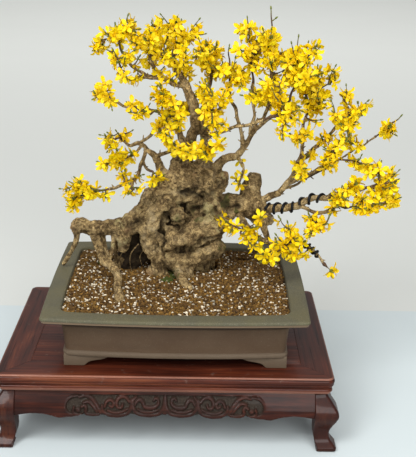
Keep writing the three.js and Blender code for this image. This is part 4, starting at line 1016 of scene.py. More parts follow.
class BONSAI_OT_add_stand_top(bpy.types.Operator):
    """Adds the stand's four moulded rails and its floating panel, and finishes its battens"""

    bl_idname = "bonsai.add_stand_top"
    bl_label = "Add stand top"

    def execute(self, context):
        settings = context.scene.bonsai_stand
        # the last argument is the strength of the highlights painted along the beads
        lengthways = wood_finish("rosewood rails along", 0, settings, 0.4, 0.0, 1.0)
        crossways = wood_finish("rosewood rails across", 1, settings, 0.4, 0.15, 0.5)
        for quarter, side in enumerate(("front", "right", "back", "left")):
            half_length, half_depth = (STAND_HALF_X, STAND_HALF_Y)
            if quarter % 2 == 1:
                half_length, half_depth = half_depth, half_length
            rings = rail_rings(half_length, half_depth, settings.corner_radius, quarter)
            rail = raise_rings(f"rail_{side}", rings)
            finish = crossways if quarter % 2 == 1 else lengthways
            finish_piece(rail, finish, "rosewood", f"stand_rail_{side}", smooth=40)
        self.add_panel(wood_finish("rosewood panel", 0, settings, 0.55, 0.15))
        battens = wood_finish("rosewood battens", 1, settings)
        for side in ("left", "right"):
            dress_node(f"stand_batten_{side}", battens)
        return {"FINISHED"}

    def add_panel(self, finish):
        low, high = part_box("stand_panel")
        deselect()
        bpy.ops.mesh.primitive_cube_add(size=1, location=(low + high) / 2, scale=high - low)
        panel = bpy.context.object
        panel.name = "panel"
        bpy.ops.object.transform_apply(location=True, rotation=True, scale=True)
        start_editing(panel)
        shape = bmesh.from_edit_mesh(panel.data)
        for face in shape.faces:
            face.select_set(face.normal.z > 0.9)
        bpy.ops.mesh.inset(thickness=0.0012, depth=0)
        bpy.ops.transform.translate(value=(0, 0, 0.0004))
        stop_editing()
        apply_modifier(panel, "BEVEL", width=0.0007, segments=2, limit_method="ANGLE")
        finish_piece(panel, finish, "rosewood", "stand_panel", smooth=30)


# The apron's lower edge from its end towards the middle: distance from the end, and height
APRON_EDGE = in_metres((
    (0, 70.2), (10, 71.8), (20, 73.7), (30, 74.8), (40, 75), (50, 74.3), (60, 72.8), (70, 70.2), (78, 67.2),
    (84, 65.5), (90, 66.2), (98, 68),
))
# The edge below the carving, from the middle outwards
APRON_LOBES = in_metres((
    (0, 74.5), (12, 70.5), (27, 68.5), (48, 70), (64, 73.5), (76, 69.5), (91, 67.5), (108, 68.5),
    (121, 71.2), (130, 69.5), (144, 69), (158.5, 73.5), (165, 69.5), (178, 68),
))
# The apron's face: height, and distance out from the edge of the stand's top
APRON_FACE = in_metres((
    (58, 6.2), (66, 7.8), (74, 8.2), (84, 6.2), (94, 1.6), (104, -4.6), (111, -9.2), (115, -11.2),
    (116.7, -12.4),
))
APRON_THICKNESS = 0.015
CARVING_MIDDLE = 0.0880
CARVING_HALF_HEIGHT = 0.0195
# Ribbons of the right half of the carving: distance from the middle, height and half width
DISH = in_metres((
    ((0, 107.1, 1.3), (0.8, 98.1, 1.9), (-0.8, 87.5, 2.1), (-1.4, 77.5, 2.1)),
    ((1.3, 98, 1.3), (3.4, 85.9, 1.9), (10, 76.7, 2.1), (26, 71.6, 2.4), (43.2, 72.2, 2.4),
     (54.6, 77.5, 2.1), (60.6, 88, 1.9), (60.5, 98.9, 1.6), (54.9, 104.4, 1.3)),
    ((56.3, 91.7, 1.3), (53.6, 97.2, 1.6), (47, 99.7, 1.9), (41.8, 95, 1.9), (39.2, 89, 1.9),
     (28.6, 86.1, 2.1), (18, 88.7, 1.9), (12.4, 94.9, 1.6), (14, 100.9, 1.6), (18.8, 102, 1.3),
     (21.4, 98.3, 1.1)),
    ((51.1, 83.7, 1.1), (41.9, 79.3, 1.6), (27.3, 78.3, 1.6), (12.7, 82.8, 1.1)),
))
VOLUTE = in_metres((
    ((63.7, 99.5, 1.3), (63.8, 88, 1.9), (68.9, 77.3, 2.1), (83, 70.7, 2.4), (99, 70.4, 2.4),
     (110.8, 74.2, 2.1), (118.1, 80.5, 1.9), (119.3, 89.5, 1.3)),
    ((67.9, 96.4, 1.6), (73.1, 102.3, 1.6), (82.6, 104.3, 1.9), (90.1, 99.7, 1.9), (92, 92.1, 1.9),
     (88.1, 86.1, 1.6), (81.8, 87.1, 1.6), (80.1, 92, 1.3)),
    ((114, 87.8, 1.6), (110.4, 96.3, 1.6), (103, 98.8, 1.6), (97.5, 94.1, 1.6), (99.8, 87.4, 1.6),
     (105, 89.2, 1.3)),
    ((108.1, 81.2, 1.1), (97.5, 76.5, 1.6), (80.3, 78.6, 1.6), (70.2, 84.3, 1.1)),
))
LEAF = in_metres((
    ((163, 102.7, 1.3), (152.4, 105.3, 1.6), (140.7, 101.9, 1.9), (131.6, 92.4, 2.1), (125.3, 82.5, 2.1),
     (121.4, 75.6, 1.6)),
    ((155.4, 93.8, 1.1), (144.8, 95.2, 1.6), (135.7, 87.8, 1.6), (128.5, 77.3, 1.1)),
    ((149.6, 83, 1.3), (149.3, 75.1, 1.9), (138.7, 71.6, 1.9), (125.5, 72.5, 1.6)),
    ((158.2, 86.5, 1.3), (152.6, 89, 1.6), (149, 84.2, 1.6), (151.8, 79.3, 1.3)),
    ((165, 80.9, 2.6), (164.5, 80.6, 2.6)),
    ((172.2, 86.3, 1.1), (173.6, 76.6, 1.6), (165.3, 71.2, 1.6), (157.8, 71.9, 1.3)),
    ((170.6, 70.5, 1.6), (183.2, 74.6, 1.6), (189.7, 84.5, 1.6), (187, 96.3, 1.6), (177.5, 103.1, 1.3),
     (165.6, 105.1, 1.1)),
))


def carve(x, z, half_length, ribbons):
    """How far the ground is sunk, from 0 to 1, and how far a ribbon stands up from it, at each place."""
    past = np.maximum(np.abs(x) - (half_length - CARVING_HALF_HEIGHT), 0)
    edge = np.hypot(past, z - CARVING_MIDDLE) - CARVING_HALF_HEIGHT
    ground = np.clip(0.5 - edge / 0.0016, 0, 1)
    raised = np.zeros_like(x)
    inside = ground > 0
    for ribbon in ribbons:
        samples = smooth_route([(along, height, 0, width) for along, height, width in ribbon], 0.0008)
        for side in (-1, 1):
            gaps = np.hypot(x[inside, None] - side * samples[:, 0], z[inside, None] - samples[:, 1])
            share = (gaps / (samples[:, 3] * 2.2)).min(axis=1)
            raised[inside] = np.maximum(raised[inside], np.sqrt(np.clip(1 - share**2, 0, 1)))
    return ground, raised


class BONSAI_OT_add_aprons(bpy.types.Operator):
    """Adds the four aprons with their sunk scroll carving"""

    bl_idname = "bonsai.add_aprons"
    bl_label = "Add aprons"

    def execute(self, context):
        settings = context.scene.bonsai_stand
        finish = carved_finish(settings)
        for quarter, side in enumerate(("front", "right", "back", "left")):
            if quarter % 2 == 0:
                apron = self.add_apron(side, STAND_HALF_X, STAND_HALF_Y, 0.190, DISH + VOLUTE + LEAF, quarter)
            else:
                apron = self.add_apron(side, STAND_HALF_Y, STAND_HALF_X, 0.122, DISH + VOLUTE, quarter)
            finish_piece(apron, finish, "rosewood", f"stand_apron_{side}", smooth=50)
        return {"FINISHED"}

    def add_apron(self, side, half_length, half_depth, carved_half, ribbons, quarter):
        end = half_length - LEG_INSET - SEAT_GAP
        depth = bpy.context.scene.bonsai_stand.carving_depth
        rows = 44
        columns = int(2 * end / 0.0010)
        deselect()
        bpy.ops.mesh.primitive_grid_add(x_subdivisions=columns, y_subdivisions=rows, size=2)
        apron = bpy.context.object
        apron.name = f"apron_{side}"
        grid = read_places(apron)
        x = grid[:, 0] * end
        plain = [(end - inwards, z) for inwards, z in APRON_EDGE if end - inwards > carved_half - 0.006]
        lobes = [lobe for lobe in APRON_LOBES if lobe[0] < carved_half - 0.006]
        places, heights = zip(*lobes, *reversed(plain))
        low = np.interp(np.abs(x), places, heights)
        high = RAIL_BOTTOM - SEAT_GAP
        rise = (grid[:, 1] + 1) / 2
        z = low + (high - low) * (rise * 0.62 + 0.38 * rise**2)
        out = np.interp(z, *zip(*APRON_FACE))
        ground, raised = carve(x, z, carved_half, ribbons)
        sunk = ground * (1 - raised * 0.95)
        y = half_depth + out - sunk * depth
        write_places(apron, np.array([turned(place, quarter) for place in np.column_stack([x, -y, z])]))
        channels = np.column_stack([sunk**0.7, ground * raised**5, ground, np.ones_like(x)])
        paint(apron, "carving", channels)
        start_editing(apron, "EDGE")
        bpy.ops.mesh.select_all(action="DESELECT")
        shape = bmesh.from_edit_mesh(apron.data)
        for boundary in shape.edges:
            boundary.select_set(boundary.is_boundary)
        inwards = turned((0, APRON_THICKNESS, 0), quarter) - STAND_MIDDLE
        bpy.ops.mesh.extrude_edges_move(TRANSFORM_OT_translate={"value": inwards})
        bpy.ops.mesh.edge_face_add()
        stop_editing()
        clean(apron)
        return apron


# A leg at each height: how far its outer faces stand past the top's edge, and where its inner faces are
LEG_LEVELS = in_metres((
    (0, 9.2, -26.2), (1.2, 11.2, -25.2), (3, 12, -25), (8, 11.7, -25), (9.4, 10, -25.6), (11.2, 8.6, -26.2),
    (14.5, 5, -28.2), (19, 1.4, -30.2), (25, -1, -31.6), (32, -1.8, -32.5), (39, -0.8, -32.5),
    (48, 2.6, -32.5), (56, 6.2, -32.5), (64, 10, -32.5), (71, 12.6, -32.5), (77, 13.4, -32.5),
    (83, 12.4, -32.5), (89, 9.2, -32.5), (95, 5.2, -32.5), (101, 0.6, -32.5), (107, -4, -32.5),
    (112, -7.6, -32.5), (116, -9.8, -32.5), (116.7, -10.4, -32.5),
))
LEG_EDGE_RADIUS = 0.0055


def leg_section(outer, inner, z, sign_x, sign_y):
    """A leg's outline at one height, with a rounded outer corner and eased edges."""
    ease = 0.0012
    out_x, out_y = STAND_HALF_X + outer, STAND_HALF_Y + outer
    in_x, in_y = STAND_HALF_X + inner, STAND_HALF_Y + inner
    outline = [(in_x, in_y), (out_x - ease, in_y), (out_x, in_y + ease)]
    for step in range(6):
        angle = math.pi / 2 * step / 5
        x = out_x - LEG_EDGE_RADIUS + LEG_EDGE_RADIUS * math.cos(angle)
        y = out_y - LEG_EDGE_RADIUS + LEG_EDGE_RADIUS * math.sin(angle)
        outline.append((x, y))
    outline += [(in_x + ease, out_y), (in_x, out_y - ease)]
    return [from_middle(sign_x * x, sign_y * y, z) for x, y in outline]


class BONSAI_OT_add_legs(bpy.types.Operator):
    """Adds the four curved legs"""

    bl_idname = "bonsai.add_legs"
    bl_label = "Add legs"

    def execute(self, context):
        finish = wood_finish("rosewood legs", 2, context.scene.bonsai_stand, 0.2, 0.62)
        for depth, sign_y in (("front", -1), ("back", 1)):
            for side, sign_x in (("left", -1), ("right", 1)):
                rings = [leg_section(outer, inner, z, sign_x, sign_y) for z, outer, inner in LEG_LEVELS]
                leg = raise_rings(f"leg_{depth}_{side}", rings)
                finish_piece(leg, finish, "rosewood", f"stand_leg_{depth}_{side}", smooth=38)
        return {"FINISHED"}


# Pot: height, distance in from the rim's edge and corner radius, up the outside, over the rim and down
POT_MIDDLE = (0.018, -0.0035)
POT_HALF_X = 0.250
POT_HALF_Y = 0.2015
POT_BOW = 0.010
POT_END_BOW = 0.0035
POT_PROFILE = in_metres((
    (174, 38.5, 11), (174.5, 37, 12), (175.8, 36.2, 12), (179, 35.9, 12), (181.5, 36.1, 12),
    (182.9, 36.7, 12), (183.8, 38, 12), (184.6, 39.3, 12), (186.2, 39.4, 12), (195, 38.6, 13),
    (210, 37.4, 13), (225, 36, 14), (234, 34.2, 15), (240, 31.6, 16), (244.5, 27.6, 16), (247.5, 24.3, 16),
    (249.8, 22.4, 14), (253, 21.3, 13), (255.6, 21, 12), (255.6, 20, 12), (255.7, 16, 11), (255.8, 8, 9),
    (256, 4, 7.5), (256.6, 2.7, 7), (259, 2.2, 7), (260.7, 2.3, 7), (261.2, 1.6, 7), (261.8, 0.4, 7),
    (263, 0, 7), (265.5, 0.3, 7), (266.9, 1.3, 6.6), (267.7, 3, 6), (268, 6, 8), (268.1, 15, 12),
    (268, 25, 15), (267.8, 30.5, 17), (267.2, 33.1, 18), (265.6, 34.3, 18), (262, 34.8, 18), (256, 36, 18),
    (240, 46, 18), (190, 54, 16),
))
# A foot along one side of the pot: distance in from its corner, and height above the stand
FOOT_OUTLINE = in_metres((
    (0, 0), (37.5, 0), (39.5, 0.6), (41.5, 2.2), (44, 4.8), (47.2, 7.6), (51, 9.4), (56, 10.6), (62, 11.8),
    (68, 12.8), (74, 14), (79, 15.6), (84, 18), (90, 21.5),
))
FOOT_INSET = 0.037
FOOT_DEPTH = 0.015
SIDE_FOOT_SCALE = 0.75
DRAIN_RADIUS = 0.016
DRAIN_X = 0.110


def pot_ring(z, inset, radius):
    """A ring round the pot with rounded corners. Its sides swell outwards towards their middles."""
    corner_steps, side_steps = 8, 10
    half_x, half_y = POT_HALF_X - inset, POT_HALF_Y - inset
    corners = ((1, -1, -0.5), (1, 1, 0), (-1, 1, 0.5), (-1, -1, 1))
    outline = []
    for index, (sign_x, sign_y, start) in enumerate(corners):
        for step in range(corner_steps + 1):
            angle = math.pi * (start + 0.5 * step / corner_steps)
            x = sign_x * (half_x - radius) + radius * math.cos(angle)
            y = sign_y * (half_y - radius) + radius * math.sin(angle)
            outline.append((x, y))
        next_x, next_y, next_start = corners[(index + 1) % 4]
        last_x, last_y = outline[-1]
        end_x = next_x * (half_x - radius) + radius * math.cos(math.pi * next_start)
        end_y = next_y * (half_y - radius) + radius * math.sin(math.pi * next_start)
        for step in range(1, side_steps):
            share = step / side_steps
            outline.append((last_x + (end_x - last_x) * share, last_y + (end_y - last_y) * share))
    ring = []
    for x, y in outline:
        bow_x = math.copysign(POT_END_BOW * max(0, 1 - (y / half_y) ** 2), x)
        bow_y = math.copysign(POT_BOW * max(0, 1 - (x / half_x) ** 2), y)
        share_x, share_y = abs(x) / half_x, abs(y) / half_y
        ring.append(from_middle(POT_MIDDLE[0] + x + bow_x * share_x, POT_MIDDLE[1] + y + bow_y * share_y, z))
    return ring


class BONSAI_OT_add_pot(bpy.types.Operator):
    """Adds the clay pot with its lip, base band, feet and drain holes, and finishes its screens"""

    bl_idname = "bonsai.add_pot"
    bl_label = "Add pot"

    def execute(self, context):
        pot = raise_rings("clay_pot", [pot_ring(*level) for level in POT_PROFILE])
        self.drill(pot)
        feet = [self.add_foot(sign_x, sign_y) for sign_x in (-1, 1) for sign_y in (-1, 1)]
        join(pot, *feet)
        finish_piece(pot, clay_finish(context.scene.bonsai_pot), "clay", "pot", smooth=40)
        screen = screen_finish()
        for side in ("left", "right"):
            dress_node(f"drain_screen_{side}", screen)
        return {"FINISHED"}

    def drill(self, pot):
        for sign in (-1, 1):
            place = from_middle(POT_MIDDLE[0] + sign * DRAIN_X, POT_MIDDLE[1], POT_PROFILE[0][0])
            deselect()
            bpy.ops.mesh.primitive_cylinder_add(vertices=40, radius=DRAIN_RADIUS, depth=0.06, location=place)
            drill = bpy.context.object
            apply_modifier(pot, "BOOLEAN", operation="DIFFERENCE", object=drill, solver="EXACT")
            bpy.data.objects.remove(drill)

    def add_foot(self, sign_x, sign_y):
        """A corner foot: one wing along the front and a shorter one along the side."""
        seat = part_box("pot")[0].z
        top = POT_PROFILE[0][0] + 0.003 - seat
        corner = (POT_MIDDLE[0] + sign_x * (POT_HALF_X - FOOT_INSET),
                  POT_MIDDLE[1] + sign_y * (POT_HALF_Y - FOOT_INSET))
        wings = []
        for scale, lengthways in ((1.0, True), (SIDE_FOOT_SCALE, False)):
            outline = [(along * scale, up) for along, up in FOOT_OUTLINE]
            outline += [(outline[-1][0], top), (0, top)]
            rings = []
            for depth in (0, FOOT_DEPTH):
                ring = []
                for along, up in outline:
                    across = (along, depth) if lengthways else (depth, along)
                    x, y = corner[0] - sign_x * across[0], corner[1] - sign_y * across[1]
                    ring.append(from_middle(x, y, seat + up))
                rings.append(ring)
            wings.append(raise_rings("foot wing", rings))
        foot = wings[0]
        apply_modifier(foot, "BOOLEAN", operation="UNION", object=wings[1], solver="EXACT")
        bpy.data.objects.remove(wings[1])
        apply_modifier(foot, "BEVEL", width=0.0014, segments=3, limit_method="ANGLE", angle_limit=0.9)
        clean(foot)
        return foot


FULL_TURN = 6.283
SOIL_SEED = 71
PEBBLE_SEED = 5
TUFTS_A_PATCH = 60


def copies(name, template, matrices, channels, attribute):
    """One mesh with a copy of the template at each matrix. Channels holds four numbers for each corner."""
    matrices = np.array([np.array(matrix) for matrix in matrices])
    corners = read_places(template)
    places = np.einsum("nij,vj->nvi", matrices[:, :3, :3], corners) + matrices[:, None, :3, 3]
    faces = [tuple(polygon.vertices) for polygon in template.data.polygons]
    starts = range(0, len(matrices) * len(corners), len(corners))
    mesh = bpy.data.meshes.new(name)
    mesh.from_pydata(
        places.reshape(-1, 3).tolist(), [],
        [tuple(start + corner for corner in face) for start in starts for face in faces],
    )
    piece = bpy.data.objects.new(name, mesh)
    bpy.context.scene.collection.objects.link(piece)
    paint(piece, attribute, channels.reshape(-1, 4))
    return piece


def random_turn(draw):
    tilt = Matrix.Rotation(draw.uniform(0, FULL_TURN), 4, "X")
    return tilt @ Matrix.Rotation(draw.uniform(0, FULL_TURN), 4, "Z")


def add_pebble(name):
    """A small angular grain, a few dozen faces at most."""
    deselect()
    bpy.ops.mesh.primitive_ico_sphere_add(subdivisions=1, radius=0.5)
    grain = bpy.context.object
    grain.name = name
    draw = random.Random(PEBBLE_SEED)
    for vertex in grain.data.vertices:
        vertex.co *= draw.uniform(0.82, 1.16)
    return grain


MOSS_PATCHES = in_metres((
    (27, 20, 16), (-4, -6, 12), (2, 36, 20), (-140, 91, 14), (10, 12, 10),
))


class BONSAI_OT_add_soil(bpy.types.Operator):
    """Finishes the soil bed and strews loose grains and tufts of moss over it"""

    bl_idname = "bonsai.add_soil"
    bl_label = "Add soil"

    def execute(self, context):
        settings = context.scene.bonsai_soil
        dress_node("soil", soil_finish(settings))
        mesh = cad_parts["soil"].data
        self.bed = BVHTree.FromPolygons([v.co for v in mesh.vertices], [p.vertices for p in mesh.polygons])
        self.draw = random.Random(SOIL_SEED)
        finish = grain_finish(settings)
        grains = self.strew(settings)
        finish_piece(grains, finish, "soil", smooth=25)
        moss = self.add_moss()
        finish_piece(moss, self.moss_finish(), "soil", smooth=60)
        return {"FINISHED"}

    def ground(self, x, y):
        hit = self.bed.ray_cast(Vector((x, y, 0.5)), Vector((0, 0, -1)))[0]
        return hit if hit is not None and hit.z > 0.25 else None

    def strew(self, settings):
        low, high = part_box("soil")
        step = settings.grain_size * 0.86
        matrices, colours = [], []
        for layer, share in ((0, 1.0), (0.5, 0.45)):
            for row in range(int((high.y - low.y) / step)):
                for column in range(int((high.x - low.x) / step)):
                    if self.draw.random() > share:
                        continue
                    x = low.x + (column + layer + self.draw.uniform(0.1, 0.9)) * step
                    y = low.y + (row + layer + self.draw.uniform(0.1, 0.9)) * step
                    place = self.ground(x, y)
                    if place is None:
                        continue
                    size = settings.grain_size * self.draw.uniform(0.72, 1.22)
                    place.z += 0.0006 + 0.0022 * layer + self.draw.uniform(0, 0.0010)
                    flat = Matrix.Diagonal((1, self.draw.uniform(0.75, 1), self.draw.uniform(0.65, 0.95), 1))
                    turn = random_turn(self.draw)
                    matrices.append(Matrix.Translation(place) @ turn @ flat @ Matrix.Scale(size, 4))
                    colours.append(self.draw_colour(settings))
        pebble = add_pebble("pebble")
        corners = len(pebble.data.vertices)
        channels = np.repeat(np.array(colours)[:, None, :], corners, axis=1)
        grains = copies("soil_grains", pebble, matrices, channels, "grain")
        bpy.data.objects.remove(pebble)
        return grains

    def draw_colour(self, settings):
        light = self.draw.random()
        ochre = self.draw.random() ** 2
        white = 1.0 if self.draw.random() < settings.white_share else 0.0
        return light, ochre, white, 1.0

    def add_moss(self):
        matrices = []
        for x, y, radius in MOSS_PATCHES:
            for _ in range(TUFTS_A_PATCH):
                angle, reach = self.draw.uniform(0, FULL_TURN), radius * math.sqrt(self.draw.random())
                middle = from_middle(x, y, 0)
                place = self.ground(middle.x + reach * math.cos(angle), middle.y + reach * math.sin(angle))
                if place is not None:
                    place.z += 0.003
                    size = self.draw.uniform(0.003, 0.006)
                    turn = random_turn(self.draw)
                    matrices.append(Matrix.Translation(place) @ turn @ Matrix.Scale(size, 4))
        tuft = add_pebble("tuft")
        channels = np.ones((len(matrices), len(tuft.data.vertices), 4))
        moss = copies("moss_tufts", tuft, matrices, channels, "grain")
        bpy.data.objects.remove(tuft)
        return moss

    def moss_finish(self):
        finish = Finish("moss", specular_ior_level=0.2)
        fine = finish.noise(700.0, 3)
        colour = finish.ramp(fine, (0.3, (0.022, 0.030, 0.006)), (0.7, (0.085, 0.105, 0.018)))
        return finish.dress(colour, 0.9 + 0.08 * fine, finish.bump(fine, 0.002, 0.9))


# Rotted wood in the hollow between the roots, painted near-black as the shade in that hollow, and hair roots
# that hang there
SHADED_HEARTWOOD = in_metres((
    ((-100, 78, 252, 24), (-82, 74, 282, 28), (-56, 68, 312, 28), (-30, 62, 338, 24), (-10, 58, 368, 26),
     (6, 55, 388, 22)),
    ((-104, 70, 300, 16), (-80, 68, 330, 20), (-50, 62, 350, 22)),
))
HAIR_ROOTS = in_metres((
    ((-64, 30, 328, 1.8), (-80, 28, 306, 1.4), (-82, 30, 284, 1.1), (-78, 40, 258, 0.8)),
    ((-50, 34, 318, 1.4), (-62, 40, 296, 1.1), (-58, 46, 272, 0.8)),
    ((-90, 36, 318, 1.4), (-104, 44, 292, 1.1), (-108, 52, 258, 0.8)),
    ((40, 30, 284, 1.6), (46, 22, 272, 1.2), (48, 18, 258, 1)),
    ((100, 40, 308, 1.4), (104, 44, 286, 1.1), (106, 48, 257, 0.8)),
))

# Hollows and crevices pressed into the front of the wood, and painted dark as shade: (x, z) from and to,
# radius and depth
DENTS = in_metres((
    ((30, 440), (58, 435), 14, 12), ((58, 435), (88, 440), 10, 8), ((33, 476), (36, 477), 5, 8),
    ((44, 400), (64, 412), 8, 9), ((-6, 402), (-16, 366), 6, 12), ((-16, 366), (-13, 330), 6.5, 12),
    ((-7, 386), (40, 389), 5.5, 9), ((12, 322), (42, 334), 4.5, 10), ((42, 334), (68, 343), 5, 11),
    ((68, 343), (93, 353), 4.5, 10), ((134, 409), (138, 409), 8, 12), ((-28, 430), (-56, 408), 10, 4.5),
    ((104, 425), (122, 408), 13, 8), ((-60, 378), (-66, 360), 8, 5), ((84, 402), (96, 394), 6, 5),
    ((72, 498), (60, 470), 8, 3.5), ((20, 366), (60, 372), 5, 3), ((-120, 376), (-128, 360), 6, 3.5),
    ((-40, 400), (-52, 350), 6, 4), ((-20, 330), (-30, 290), 6, 4.5), ((90, 480), (94, 450), 6, 4),
    ((160, 440), (170, 390), 5.5, 3.5),
))
LICHEN, MOSS, HOLLOW, BARE = range(4)
# What grows on the wood or is bare, and small holes painted dark as shade, as seen from the front: (x, z),
# radius, channel and strength
SPOTS = (
    ((0.015, 0.4), 0.03, LICHEN, 0.85), ((0.022, 0.392), 0.018, MOSS, 0.75),
    ((0.085, 0.401), 0.034, LICHEN, 1), ((0.07, 0.418), 0.02, LICHEN, 0.9),
    ((0.06, 0.395), 0.018, MOSS, 0.8), ((0.113, 0.417), 0.026, MOSS, 1),
    ((0.082, 0.44), 0.014, LICHEN, 0.8), ((0.107, 0.474), 0.024, LICHEN, 0.85),
    ((-0.095, 0.377), 0.022, LICHEN, 0.75), ((-0.059, 0.404), 0.026, LICHEN, 0.6),
    ((-0.1, 0.331), 0.026, LICHEN, 0.9), ((-0.092, 0.322), 0.022, MOSS, 0.7),
    ((0.111, 0.327), 0.02, MOSS, 0.8), ((0.002, 0.3), 0.022, LICHEN, 0.55),
    ((0.01, 0.28), 0.018, MOSS, 0.8), ((0.18, 0.42), 0.02, LICHEN, 0.5),
    ((-0.15, 0.366), 0.016, LICHEN, 0.35), ((0.03, 0.352), 0.02, LICHEN, 0.4),
    ((-0.081, 0.364), 0.009, BARE, 0.9), ((-0.042, 0.262), 0.01, BARE, 0.9),
    ((0.048, 0.481), 0.005, BARE, 0.6), ((0.112, 0.478), 0.008, BARE, 0.7),
    ((-0.199, 0.366), 0.009, BARE, 0.35), ((0, 0.285), 0.014, HOLLOW, 0.7),
    ((0.169, 0.473), 0.015, HOLLOW, 0.75), ((0.095, 0.306), 0.01, HOLLOW, 0.6),
    ((0.052, 0.404), 0.016, MOSS, 0.9),
)
THICK_LIMB = 0.0065  # limbs down to this radius are joined into the trunk
SPUR_SEED = 12


class BONSAI_OT_add_wood(bpy.types.Operator):
    """Adds the trunk, roots and limbs as one body of bark"""

    bl_idname = "bonsai.add_wood"
    bl_label = "Add wood"

    def execute(self, context):
        settings = context.scene.bonsai_wood
        thick = [smooth_route(points, 0.006) for points in shift_to_middle(TRUNK).values()]
        thick += [smooth_route(points, 0.005) for points in shift_to_middle(ROOTS).values()]
        hairs = shift_to_middle(dict(enumerate(HAIR_ROOTS)))
        thin = [smooth_route(points * (1, 1, 1, 0.7), 0.004) for points in hairs.values()]
        draw = random.Random(SPUR_SEED)
        for points in shift_to_middle(aimed_limbs()).values():
            cut = int((points[:, 3] >= THICK_LIMB).sum())
            if cut >= 2:
                thick.append(stray(smooth_route(points[:cut], 0.005)))
                points = points[cut - 2:]
                points[0, 3] *= 0.6
            points[:, 3] *= 0.88
            thin.append(stray(smooth_route(points, 0.0042)))
            thin += self.spurs(thin[-1], draw)
        sound = len(thick)
        # the heartwood fills the hollow between the roots and is painted near-black as its shade
        heartwood_in_shade = shift_to_middle(dict(enumerate(SHADED_HEARTWOOD)))
        thick += [smooth_route(points, 0.006) for points in heartwood_in_shade.values()]
        wood = tubes("bark_wood", thick, 4)
        wood.data.remesh_voxel_size = settings.detail
        choose(wood)
        bpy.ops.object.voxel_remesh()
        apply_modifier(wood, "SMOOTH", factor=0.5, iterations=3)
        trunk_corners = len(wood.data.vertices)
        join(wood, tubes("limbs", thin, 2))
        self.roughen(wood, trunk_corners, thick, thin, settings.bark_relief, sound)
        finish_piece(wood, bark_finish(settings), "bark", "tree_wood", smooth=80)
        return {"FINISHED"}

    def spurs(self, limb, draw):
        """Short dead spurs along a limb."""
        spurs = []
        for index in range(3, len(limb) - 1, 4):
            way = Vector(limb[index + 1, :3] - limb[index, :3]).normalized()
            across = way.orthogonal().normalized()
            across.rotate(Matrix.Rotation(draw.uniform(0, FULL_TURN), 3, way))
            start = Vector(limb[index, :3])
            reach = limb[index, 3] + draw.uniform(0.002, 0.009)
            tip = start + (across + way * draw.uniform(0.2, 0.8)).normalized() * reach
            spurs.append(np.array([(*start, 0.0017), (*start.lerp(tip, 0.6), 0.0013), (*tip, 0.0008)]))
        return spurs

    def nearest(self, places, routes):
        """For each place: the nearest route's middle, direction, length so far, radius and number."""
        rows = []
        for number, route in enumerate(routes):
            steps = np.diff(route[:, :3], axis=0)
            lengths = np.concatenate([[0], np.cumsum(np.linalg.norm(steps, axis=1))])
            ways = np.gradient(route[:, :3], axis=0)
            ways /= np.linalg.norm(ways, axis=1)[:, None]
            numbers = np.full(len(route), number)
            rows.append(np.column_stack([route[:, :3], ways, lengths, route[:, 3], numbers]))
        rows = np.vstack(rows)
        tree = KDTree(len(rows))
        for index, row in enumerate(rows):
            tree.insert(Vector(row[:3]), index)
        tree.balance()
        chosen = [
            min(tree.find_n(Vector(place), 5), key=lambda found: found[2] - rows[found[1], 7])[1]
            for place in places
        ]
        return rows[chosen]

    def roughen(self, wood, trunk_corners, thick, thin, relief, sound):
        """Raises ridges along the wood, presses the hollows in, paints shade into them and into the creases,
        and paints what grows on it.
        """
        places = read_places(wood)
        normals = read_normals(wood)
        trunk, limbs = places[:trunk_corners], places[trunk_corners:]
        rows = np.vstack([self.nearest(trunk, thick), self.nearest(limbs, thin)])
        offset = places - rows[:, :3]
        along = (offset * rows[:, 3:6]).sum(axis=1)
        across = offset - along[:, None] * rows[:, 3:6]
        radius = rows[:, 7]
        length = (rows[:, 6] + along)[:, None]
        drawn_out = across + rows[:, 3:6] * length * 0.28 + rows[:, 8:9] * 0.07
        ridge = 1 - 2.4 * np.abs(noise_at(drawn_out, 0.0085))
        bulge = noise_at(places, 0.024)
        lumps = noise_at(places + 9, 0.012)
        fine = noise_at(places + 5, 0.0045)
        height = np.minimum(relief, 0.14 * radius) * (0.8 * ridge + 0.8 * fine)
        height += np.minimum(0.0072, 0.26 * radius) * (bulge + 0.6 * lumps)
        channels = np.zeros((len(places), 4))
        # painted shade: the valleys between ridges, bulges and lumps are darkened, on the thicker wood only
        creases = np.clip(-0.1 - ridge, 0, 1) * 0.55 + np.clip(-bulge - 0.1, 0, 1) * 0.9
        creases += np.clip(-lumps, 0, 1) * 0.6
        channels[:, HOLLOW] = np.clip(creases, 0, 0.62) * np.clip(radius / 0.014 - 0.4, 0, 1)
        flat = places - np.array(STAND_MIDDLE)
        front = (normals[:, 1] < 0.35) & (flat[:, 1] < 0.060)
        for start, end, reach, depth in DENTS:
            start, end = np.array(start), np.array(end)
            way = end - start
            share = np.clip(((flat[:, [0, 2]] - start) @ way) / (way @ way), 0, 1)
            gap = np.linalg.norm(flat[:, [0, 2]] - start - share[:, None] * way, axis=1)
            gap *= 1 + 0.5 * bulge + 0.7 * lumps + 0.2 * fine
            weight = np.where(front, np.clip(1 - (gap / reach) ** 2, 0, 1) ** 1.5, 0)
            height -= depth * weight
            # painted shade: each dent is darkened, the more the deeper it is
            dark = 0.9 * np.clip(weight * 1.25 - 0.1, 0, 1) * min(1, depth / 0.011) ** 1.5
            channels[:, HOLLOW] = np.maximum(channels[:, HOLLOW], dark)
        for place, reach, channel, strength in SPOTS:
            gap = np.linalg.norm(flat[:, [0, 2]] - np.array(place), axis=1) / reach
            weight = np.clip((1.1 - gap + 0.9 * bulge + 0.4 * lumps) / 0.8, 0, 1) * strength * 0.66
            channels[:, channel] = np.maximum(channels[:, channel], np.where(front, weight, 0))
